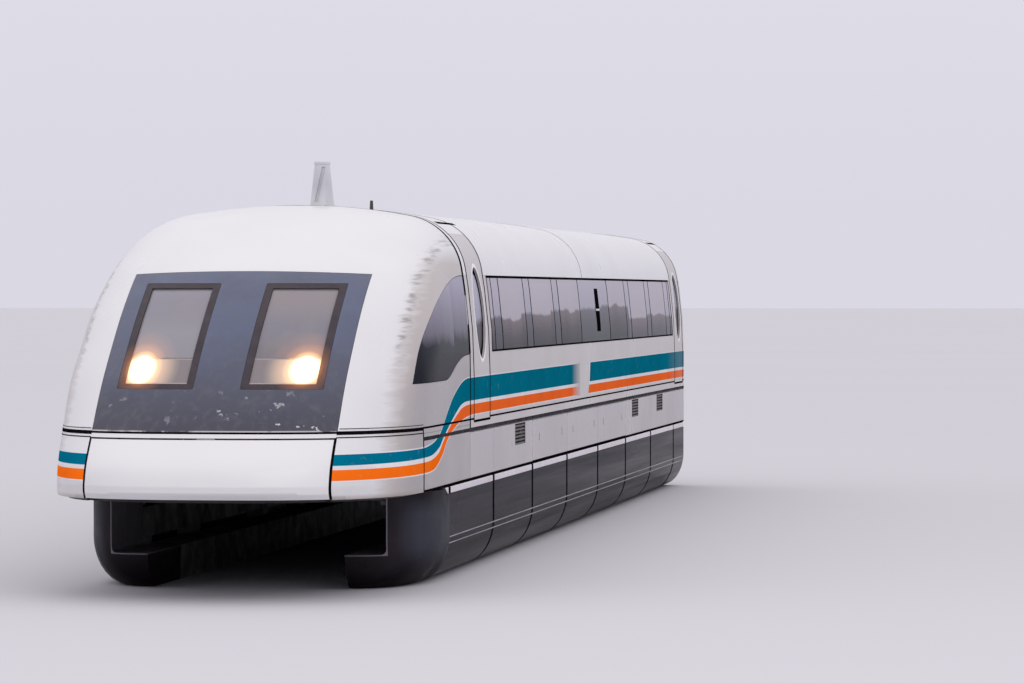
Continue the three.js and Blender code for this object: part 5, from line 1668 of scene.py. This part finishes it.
def turned(name, middle, profile, steps=40):
    """A turned body: a profile of (radius, height) spun round the vertical through the middle."""
    mesh = bpy.data.meshes.new(name)
    points = [(middle[0] + radius, middle[1], height) for radius, height in profile]
    mesh.from_pydata(points, [(i, i + 1) for i in range(len(points) - 1)], [])
    body = bpy.data.objects.new(name, mesh)
    bpy.context.scene.collection.objects.link(body)
    edit(body, lambda: bpy.ops.mesh.spin(steps=steps, angle=2 * math.pi, center=(middle[0], middle[1], 0),
                                         axis=(0, 0, 1)), lambda: bpy.ops.mesh.select_all(action="SELECT"),
         face_out)
    return body


aerial_paint = Finish("aerial_paint", Roughness=0.35, Coat_Weight=0.2)
aerial_tone = aerial_paint.ramp(aerial_paint.fade(aerial_paint.axis("Z"), aerial_low.z, aerial_high.z),
                                [(0.0, (0.60, 0.60, 0.62)), (0.5, (0.52, 0.52, 0.57)),
                                 (1.0, (0.62, 0.62, 0.66))])
aerial_dull = aerial_paint.fade(aerial_paint.noise(4, 4, (1, 1, 0.4)), 0.45, 0.7, 0, 0.4)
aerial_paint.colour(aerial_paint.blend(aerial_dull, aerial_tone, (0.44, 0.44, 0.48)))
base_z = aerial_low.z + 0.0005
cap = aerial_high.z
aerial_middle = ((aerial_low.x + aerial_high.x) / 2, (aerial_low.y + aerial_high.y) / 2)
wide = (aerial_high.x - aerial_low.x) / 2
aerial = turned("aerial_cone", aerial_middle,
                [(0.0, base_z), (wide - 0.004, base_z), (wide - 0.001, base_z + 0.004),
                 (wide - 0.001, base_z + 0.009), (wide - 0.006, base_z + 0.012), (0.137, base_z + 0.022),
                 (0.133, base_z + 0.030), (0.085, cap - 0.036), (0.092, cap - 0.029), (0.092, cap - 0.006),
                 (0.087, cap - 0.001), (0.0, cap - 0.001)])
groove = loft("aerial_recess",
              [[(middle + x, aerial_middle[1] - y, z)
                for x, y in ((-0.020, 0.2), (0.020, 0.2), (0.020, reach), (-0.020, reach))]
               for z, reach, middle in ((base_z + 0.06, 0.100, -0.045), (cap - 0.06, 0.064, 0.035))])
carve(aerial, [groove])
smooth_sharp(aerial, 35)
fit(aerial, aerial_paint, "aerial_white", "aerial")
BOLTS = 8
BOLT_CIRCLE = 0.164
bolts = []
for i in range(BOLTS):
    turn = 2 * math.pi * (i + 0.5) / BOLTS
    x = aerial_middle[0] + BOLT_CIRCLE * math.cos(turn)
    y = aerial_middle[1] + BOLT_CIRCLE * math.sin(turn)
    bpy.ops.mesh.primitive_cylinder_add(vertices=6, radius=0.007, depth=0.006,
                                        location=(x, y, base_z + 0.0165))
    bolts.append(settle(bpy.context.object))
bolts = join(bolts, "aerial_bolts")
fit(bolts, hinge_steel, "frame_grey")

aerial_black = Finish("aerial_black_plastic", Roughness=0.4)
aerial_black.mottle(60, (0.012, 0.012, 0.013), (0.028, 0.028, 0.030))
small_middle = ((small_low.x + small_high.x) / 2, (small_low.y + small_high.y) / 2)
foot = small_low.z + 0.0005
small = turned("small_aerial_body", small_middle,
               [(0.0, foot), (0.0265, foot), (0.0265, foot + 0.008), (0.0240, foot + 0.014),
                (0.0178, small_high.z - 0.010), (0.0145, small_high.z - 0.003),
                (0.0, small_high.z - 0.001)], 24)
smooth_sharp(small, 40)
fit(small, aerial_black, "aerial_black", "small_aerial")


# Rear end
# The end wall has a doorway to the next car, and a folded rubber seal follows the body's section round it.
# The seal meets the seal of the next car.
seal_low, seal_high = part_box("gangway_seal")
gangway_rubber = Finish("gangway_rubber", Specular_IOR_Level=0.3)
gangway_rubber.mottle(7, (0.016, 0.016, 0.017), (0.036, 0.034, 0.034), 5)
gangway_rubber.uneven(0.5, 0.75, 22)
gangway_rubber.bump(gangway_rubber.noise(120, 2), 0.0004, 0.4)
FOLDS = 3
FOLD_DEPTH = 0.014


def section_ring(inset, floor):
    """The body's section as a closed line, set in, from its right foot over the crown to its left foot."""
    heights = section_heights(8, 4, 22, 14, floor, inset)
    reach = half_width(heights, inset)
    reach[-1] = 0
    points = list(zip(reach, heights))
    return [(-x, z) for x, z in points] + [(x, z) for x, z in points[::-1][1:]]


def seal_rings(outside):
    """Sections along the seal's folds: of its outside, or of the hole through it, a little longer."""
    rings = []
    for i in range(8 * FOLDS + 1):
        part = i / (8 * FOLDS)
        fold = FOLD_DEPTH * (1 - math.cos(2 * math.pi * FOLDS * part)) / 2
        y = seal_low.y + 0.0005 + (seal_high.y - seal_low.y - 0.001) * part
        if outside:
            section = section_ring(0.012 + fold, BODY_BOTTOM + 0.0005)
        else:
            y += -0.01 if i == 0 else 0.01 if part == 1 else 0
            section = section_ring(0.149 - fold, BODY_BOTTOM + 0.149)
        rings.append([(x, y, z) for x, z in section])
    return rings


bellows = loft("gangway_bellows", seal_rings(True))
carve(bellows, [loft("gangway_hole", seal_rings(False))])
smooth_sharp(bellows, 40)
fit(bellows, gangway_rubber, "rubber_black", "gangway_seal")

FLOOR_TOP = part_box("cabin_floor")[1].z
DOORWAY = {"half": 0.548, "top": 3.698, "radius": 0.08, "frame": 0.045}
WALL_FACE = 13.433
end_low, end_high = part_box("rear_end_wall")


def doorway_outline(half, bottom, top, radius):
    """A doorway with rounded upper corners, drawn from behind."""
    upper = rectangle(-half, half, bottom, top, radius, 8)
    return [(x, max(z, bottom)) if z > bottom + radius + 0.001 else (math.copysign(half, x), bottom)
            for x, z in upper if z > bottom + radius + 0.001 or abs(z - bottom) < 0.001]


end_paint = Finish("end_wall_paint", Coat_Weight=0.2)
end_tone = end_paint.blend(end_paint.fade(end_paint.noise(1.5, 6), 0.4, 0.7, 0, 0.6), (0.46, 0.46, 0.48),
                           (0.30, 0.29, 0.29))
end_paint.colour(end_tone)
end_paint.uneven(0.3, 0.5, 5)
brushed = Finish("brushed_aluminium", Metallic=0.8)
brushed.mottle(60, (0.42, 0.42, 0.44), (0.60, 0.60, 0.62), 3, (1, 1, 0.05))
brushed.roughness(brushed.fade(brushed.noise(25, 3, (1, 1, 0.1)), 0.3, 0.7, 0.25, 0.45))

end_wall = prism(section_ring(0.122, BODY_BOTTOM + 0.0005), "Y", end_low.y + 0.0005, WALL_FACE)
carve(end_wall, [prism(doorway_outline(DOORWAY["half"], FLOOR_TOP + 0.001, DOORWAY["top"],
                                       DOORWAY["radius"]), "Y", 13.2, 13.6)])
recesses = [prism(rectangle(*between(side, x0, x1), z0, z1, 0.04), "Y", WALL_FACE - 0.012,
                  WALL_FACE + 0.05) for side in (1, -1) for x0, x1 in ((0.70, 1.12), (1.18, 1.56))
            for z0, z1 in ((1.72, 2.44), (2.52, 3.22))]
recesses += [prism(rectangle(x, x + 0.5, 1.12, 1.50, 0.04), "Y", WALL_FACE - 0.012, WALL_FACE + 0.05)
             for x in (-1.15, -0.25, 0.65)]
carve(end_wall, recesses)
bevel_edges(end_wall, 0.004)
smooth_sharp(end_wall, 40)
fit(end_wall, end_paint, "pan_grey", "rear_end_wall")

door_frame = prism(doorway_outline(DOORWAY["half"] + DOORWAY["frame"], FLOOR_TOP + 0.002,
                                   DOORWAY["top"] + DOORWAY["frame"], DOORWAY["radius"] + DOORWAY["frame"]),
                   "Y", WALL_FACE + 0.0003, end_high.y - 0.0005)
carve(door_frame, [prism(doorway_outline(DOORWAY["half"], FLOOR_TOP - 0.1, DOORWAY["top"],
                                         DOORWAY["radius"]), "Y", 13.2, 13.6)])
door_frame.name = "gangway_door_frame"
bevel_edges(door_frame, 0.002)
fit(door_frame, brushed, "frame_grey")
tread = [cut_box(-0.53, 0.53, end_low.y + 0.002, 13.490, FLOOR_TOP + 0.0015, FLOOR_TOP + 0.011)]
tread += [cut_box(-0.51, 0.51, y, y + 0.004, FLOOR_TOP + 0.0105, FLOOR_TOP + 0.013)
          for y in np.arange(13.34, 13.48, 0.014)]
plate = join(tread, "gangway_plate")
bevel_edges(plate, 0.0012)
fit(plate, brushed, "frame_grey")


# Cabin floor and cab bulkhead
# The floor is a honeycomb slab covered with dark speckled rubber.
# A painted panel with a doorway parts the driver's cab from the passengers.
floor_rubber = Finish("floor_rubber", Roughness=0.7)
speck = floor_rubber.fade(floor_rubber.noise(240, 2), 0.58, 0.66, 0, 0.6)
floor_rubber.colour(floor_rubber.blend(speck, (0.045, 0.048, 0.058), (0.16, 0.16, 0.18)))
dress(bpy.data.objects["cabin_floor"], floor_rubber)
lining = Finish("lining_panel", Roughness=0.55)
lining.mottle(3, (0.42, 0.41, 0.40), (0.50, 0.49, 0.47), 5)
lining.bump(lining.noise(400, 2), 0.0003, 0.4)
dress(bpy.data.objects["cab_bulkhead"], lining)
portal = prism(doorway_outline(0.430, FLOOR_TOP + 0.001, 3.578, 0.03), "Y", -8.456, -8.394)
carve(portal, [prism(doorway_outline(0.3985, FLOOR_TOP - 0.2, 3.5485, 0.004), "Y", -8.6, -8.2),
               cut_box(-0.6, -0.3995, -8.4505, -8.3995, 1.0, 4.0),
               cut_box(0.3995, 0.6, -8.4505, -8.3995, 1.0, 4.0)])
carve(portal, [cut_box(-0.3993, 0.3993, -8.4505, -8.3995, 3.5495, 4.0)])
portal.name = "cab_door_frame"
fit(portal, brushed, "frame_grey")


# Driver's desk
# A moulded console across the cab with two knee spaces and four blank screens.
desk_low, desk_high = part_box("driver_desk")
desk_black = Finish("desk_moulding", Roughness=0.55)
desk_black.mottle(6, (0.030, 0.031, 0.034), (0.050, 0.051, 0.055), 4)
desk_black.bump(desk_black.noise(500, 2), 0.0003, 0.5)
desk = prism([(desk_low.y + 0.001, desk_low.z + 0.0005), (-10.752, desk_low.z + 0.0005), (-10.735, 1.70),
              (-10.520, 2.24), (-10.503, 2.278), (-10.545, 2.290), (-11.000, desk_high.z - 0.002),
              (desk_low.y + 0.001, desk_high.z - 0.002)], "X", desk_low.x + 0.001, desk_high.x - 0.001)
carve(desk, [cut_box(side * 0.15, side * 0.95, -11.0, -10.3, 1.60, 2.12) for side in (1, -1)])
bevel_edges(desk, 0.012, 3)
smooth_sharp(desk, 50)
fit(desk, desk_black, "mask_dark", "driver_desk")
screens = [prism([(-10.60, 2.3045), (-10.94, 2.3995), (-10.936, 2.4075), (-10.597, 2.3135)], "X", x - 0.22,
                 x + 0.22) for x in (-0.85, -0.30, 0.30, 0.85)]
screens = join(screens, "desk_screens")
bevel_edges(screens, 0.002)
fit(screens, display_black, "mask_dark")


# Driver's seats
# Two upholstered seats on pedestals behind the desk, on one low plinth.
# Foam cushions in dark blue cloth sit on a moulded shell.
seat_low, seat_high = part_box("driver_seats")
SEAT_CLOTH = (0.030, 0.052, 0.120)
seat_cloth = Finish("seat_cloth", Roughness=0.9, Sheen_Weight=0.4, Sheen_Roughness=0.4)
weave_across = seat_cloth.node("ShaderNodeTexWave", Scale=140.0, Distortion=1.5, bands_direction="X")
seat_cloth.link(seat_cloth.coords(), weave_across, "Vector")
weave_up = seat_cloth.node("ShaderNodeTexWave", Scale=140.0, Distortion=1.5, bands_direction="DIAGONAL")
seat_cloth.link(seat_cloth.coords((0, 1, 1)), weave_up, "Vector")
weave = seat_cloth.times(weave_across.outputs["Fac"], weave_up.outputs["Fac"])
cloth_tone = seat_cloth.blend(seat_cloth.fade(seat_cloth.noise(4, 5), 0.35, 0.7), SEAT_CLOTH,
                              (0.045, 0.072, 0.15))
seat_cloth.colour(seat_cloth.blend(weave, cloth_tone, (0.075, 0.105, 0.19)))
seat_cloth.bump(weave, 0.0006, 0.6)
shell_plastic = Finish("seat_shell", Roughness=0.5)
shell_plastic.mottle(5, (0.16, 0.16, 0.17), (0.22, 0.22, 0.23))
PAD_ROUNDNESS = 4.5


def cushion(name, x0, x1, y0, y1, z0, z1, thin_axis, cuts=7):
    """A stuffed pad that swells in the middle, pulls in between corners and is pinched along its seams."""
    bpy.ops.mesh.primitive_cube_add(size=2)
    pad = bpy.context.object
    pad.name = name
    edit(pad, lambda: bpy.ops.mesh.subdivide(number_cuts=cuts))
    flat = np.zeros(len(pad.data.vertices) * 3)
    pad.data.vertices.foreach_get("co", flat)
    points = flat.reshape(-1, 3)
    rounded = points / ((np.abs(points)**PAD_ROUNDNESS).sum(1)**(1 / PAD_ROUNDNESS))[:, None]
    wide_axes = [axis for axis in range(3) if axis != thin_axis]
    a, b = wide_axes
    rounded[:, a] *= 1 - 0.030 * (1 - np.clip(np.abs(points[:, b]), 0, 1)**2) * np.abs(points[:, a])**4
    rounded[:, b] *= 1 - 0.030 * (1 - np.clip(np.abs(points[:, a]), 0, 1)**2) * np.abs(points[:, b])**4
    swell = (1 - points[:, a]**2) * (1 - points[:, b]**2)
    seam = np.exp(-((np.abs(points[:, a]) - 0.5) / 0.1)**2)
    rounded[:, thin_axis] *= 0.80 + 0.20 * swell - 0.07 * seam * (np.abs(points[:, thin_axis]) > 0.99)
    middle = np.array([(x0 + x1) / 2, (y0 + y1) / 2, (z0 + z1) / 2])
    size = np.array([x1 - x0, y1 - y0, z1 - z0]) / 2
    pad.data.vertices.foreach_set("co", (middle + rounded * size).ravel())
    pick(pad)
    bpy.ops.object.shade_smooth()
    return pad


plinth = cut_box(seat_low.x + 0.001, seat_high.x - 0.001, -9.699, -9.301, seat_low.z + 0.0005,
                 FLOOR_TOP + 0.058)
bevel_edges(plinth, 0.008, 3)
hard_parts = [plinth]
pads = []
for x in (-0.55, 0.55):
    hard_parts.append(turned("pedestal", (x, -9.5),
                             [(0, 1.672), (0.079, 1.672), (0.060, 1.700), (0.048, 1.760), (0.048, 1.930),
                              (0.079, 1.985), (0.079, 1.996), (0, 1.996)], 20))
    shell = cut_box(x - 0.250, x + 0.250, -9.760, -9.250, 1.995, 2.012)
    back_shell = cut_box(x - 0.235, x + 0.235, -9.205, -9.188, 2.02, 2.86)
    hard_parts += [bevel_edges(shell, 0.006, 2), bevel_edges(back_shell, 0.006, 2)]
    pads += [cushion("pad", x - 0.268, x + 0.268, -9.798, -9.30, 2.010, 2.128, 2),
             cushion("pad", x - 0.250, x + 0.250, -9.328, -9.203, 2.112, 2.700, 1),
             cushion("pad", x - 0.150, x + 0.150, -9.316, -9.208, 2.705, 2.895, 1, 5)]
hard_parts = join(hard_parts, "driver_seat_frames")
fit(hard_parts, shell_plastic, "frame_grey")
pads = join(pads, "driver_seat_cushions")
dress(pads, seat_cloth)
stand_for(pads, "car", "seat_cloth", "driver_seats")


# Passenger seats
# Rows of double seats on both sides of the aisle, made once and repeated at one pitch.
# Each has a plinth, a moulded shell and two foam pads for every passenger.
SEAT_PITCH = 0.98
SEAT_ROWS = 18
FIRST_SEAT = -6.5
for side, word in SIDES:
    rail = cut_box(side * 0.902, side * 1.298, FIRST_SEAT + 0.001,
                   FIRST_SEAT + (SEAT_ROWS - 1) * SEAT_PITCH + 0.399, FLOOR_TOP + 0.001, FLOOR_TOP + 0.039)
    bevel_edges(rail, 0.006)
    plinth = cut_box(side * 0.952, side * 1.248, FIRST_SEAT + 0.001, FIRST_SEAT + 0.349,
                     FLOOR_TOP + 0.038, 1.955)
    pan = cut_box(side * 0.570, side * 1.630, FIRST_SEAT - 0.03, FIRST_SEAT + 0.41, 1.952, 1.972)
    shell = cut_box(side * 0.580, side * 1.620, FIRST_SEAT + 0.478, FIRST_SEAT + 0.497, 1.99, 2.72)
    frames = join([bevel_edges(part, 0.008, 2) for part in (plinth, pan, shell)], f"seat_frames_{word}")
    pads = []
    for x0, x1 in ((0.562, 1.097), (1.103, 1.638)):
        left, right = between(side, x0, x1)
        pads += [cushion("pad", left, right, FIRST_SEAT - 0.058, FIRST_SEAT + 0.39, 1.970, 2.078, 2),
                 cushion("pad", left + 0.01, right - 0.01, FIRST_SEAT + 0.384, FIRST_SEAT + 0.482, 2.07,
                         2.60, 1),
                 cushion("pad", left + 0.12, right - 0.12, FIRST_SEAT + 0.390, FIRST_SEAT + 0.480,
                         2.605, 2.776, 1, 5)]
    pads = join(pads, f"seat_cushions_{word}")
    for part in (frames, pads):
        apply_modifier(part, "ARRAY", count=SEAT_ROWS, use_relative_offset=False, use_constant_offset=True,
                       constant_offset_displace=(0, SEAT_PITCH, 0))
    frames = join([frames, rail], f"seat_frames_{word}")
    fit(frames, shell_plastic, "frame_grey")
    dress(pads, seat_cloth)
    stand_for(pads, "car", "seat_cloth", f"passenger_seats_{word}")


# Equipment in the bays
# Sealed aluminium cases with ribbed lids stand side by side behind the service flaps.
# Each lid is held by two clips.
CASES = 3
for side, word in SIDES:
    low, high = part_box(f"equipment_case_{word}")
    length = (high.y - low.y) / (CASES * len(BAYS))
    outer = side * (max(abs(low.x), abs(high.x)) - 0.0125)
    inner = side * (min(abs(low.x), abs(high.x)) + 0.001)
    bodies = []
    clips = []
    for i in range(CASES * len(BAYS)):
        y0, y1 = low.y + length * i + 0.004, low.y + length * (i + 1) - 0.004
        body = cut_box(inner, outer, y0, y1, low.z + 0.001, high.z - 0.001)
        bodies.append(bevel_edges(body, 0.010, 2))
        lid = cut_box(outer - side * 0.004, outer + side * 0.004, y0 + 0.03, y1 - 0.03,
                      low.z + 0.04, high.z - 0.04)
        bodies.append(bevel_edges(lid, 0.003, 1))
        for part in np.linspace(0.18, 0.82, 7):
            y = y0 + (y1 - y0) * part
            bodies.append(cut_box(outer + side * 0.003, outer + side * 0.011, y - 0.012, y + 0.012,
                                  low.z + 0.08, high.z - 0.08))
        clips += [cut_box(outer - side * 0.001, outer + side * 0.0115, y - 0.02, y + 0.02, high.z - 0.065,
                          high.z - 0.01) for y in (y0 + 0.10, y1 - 0.10)]
    cases = join(bodies, f"equipment_cases_{word}")
    fit(cases, frame_grey, "frame_grey", f"equipment_case_{word}")
    clips = join(clips, f"equipment_clips_{word}")
    bevel_edges(clips, 0.003)
    fit(clips, hinge_steel, "frame_grey")
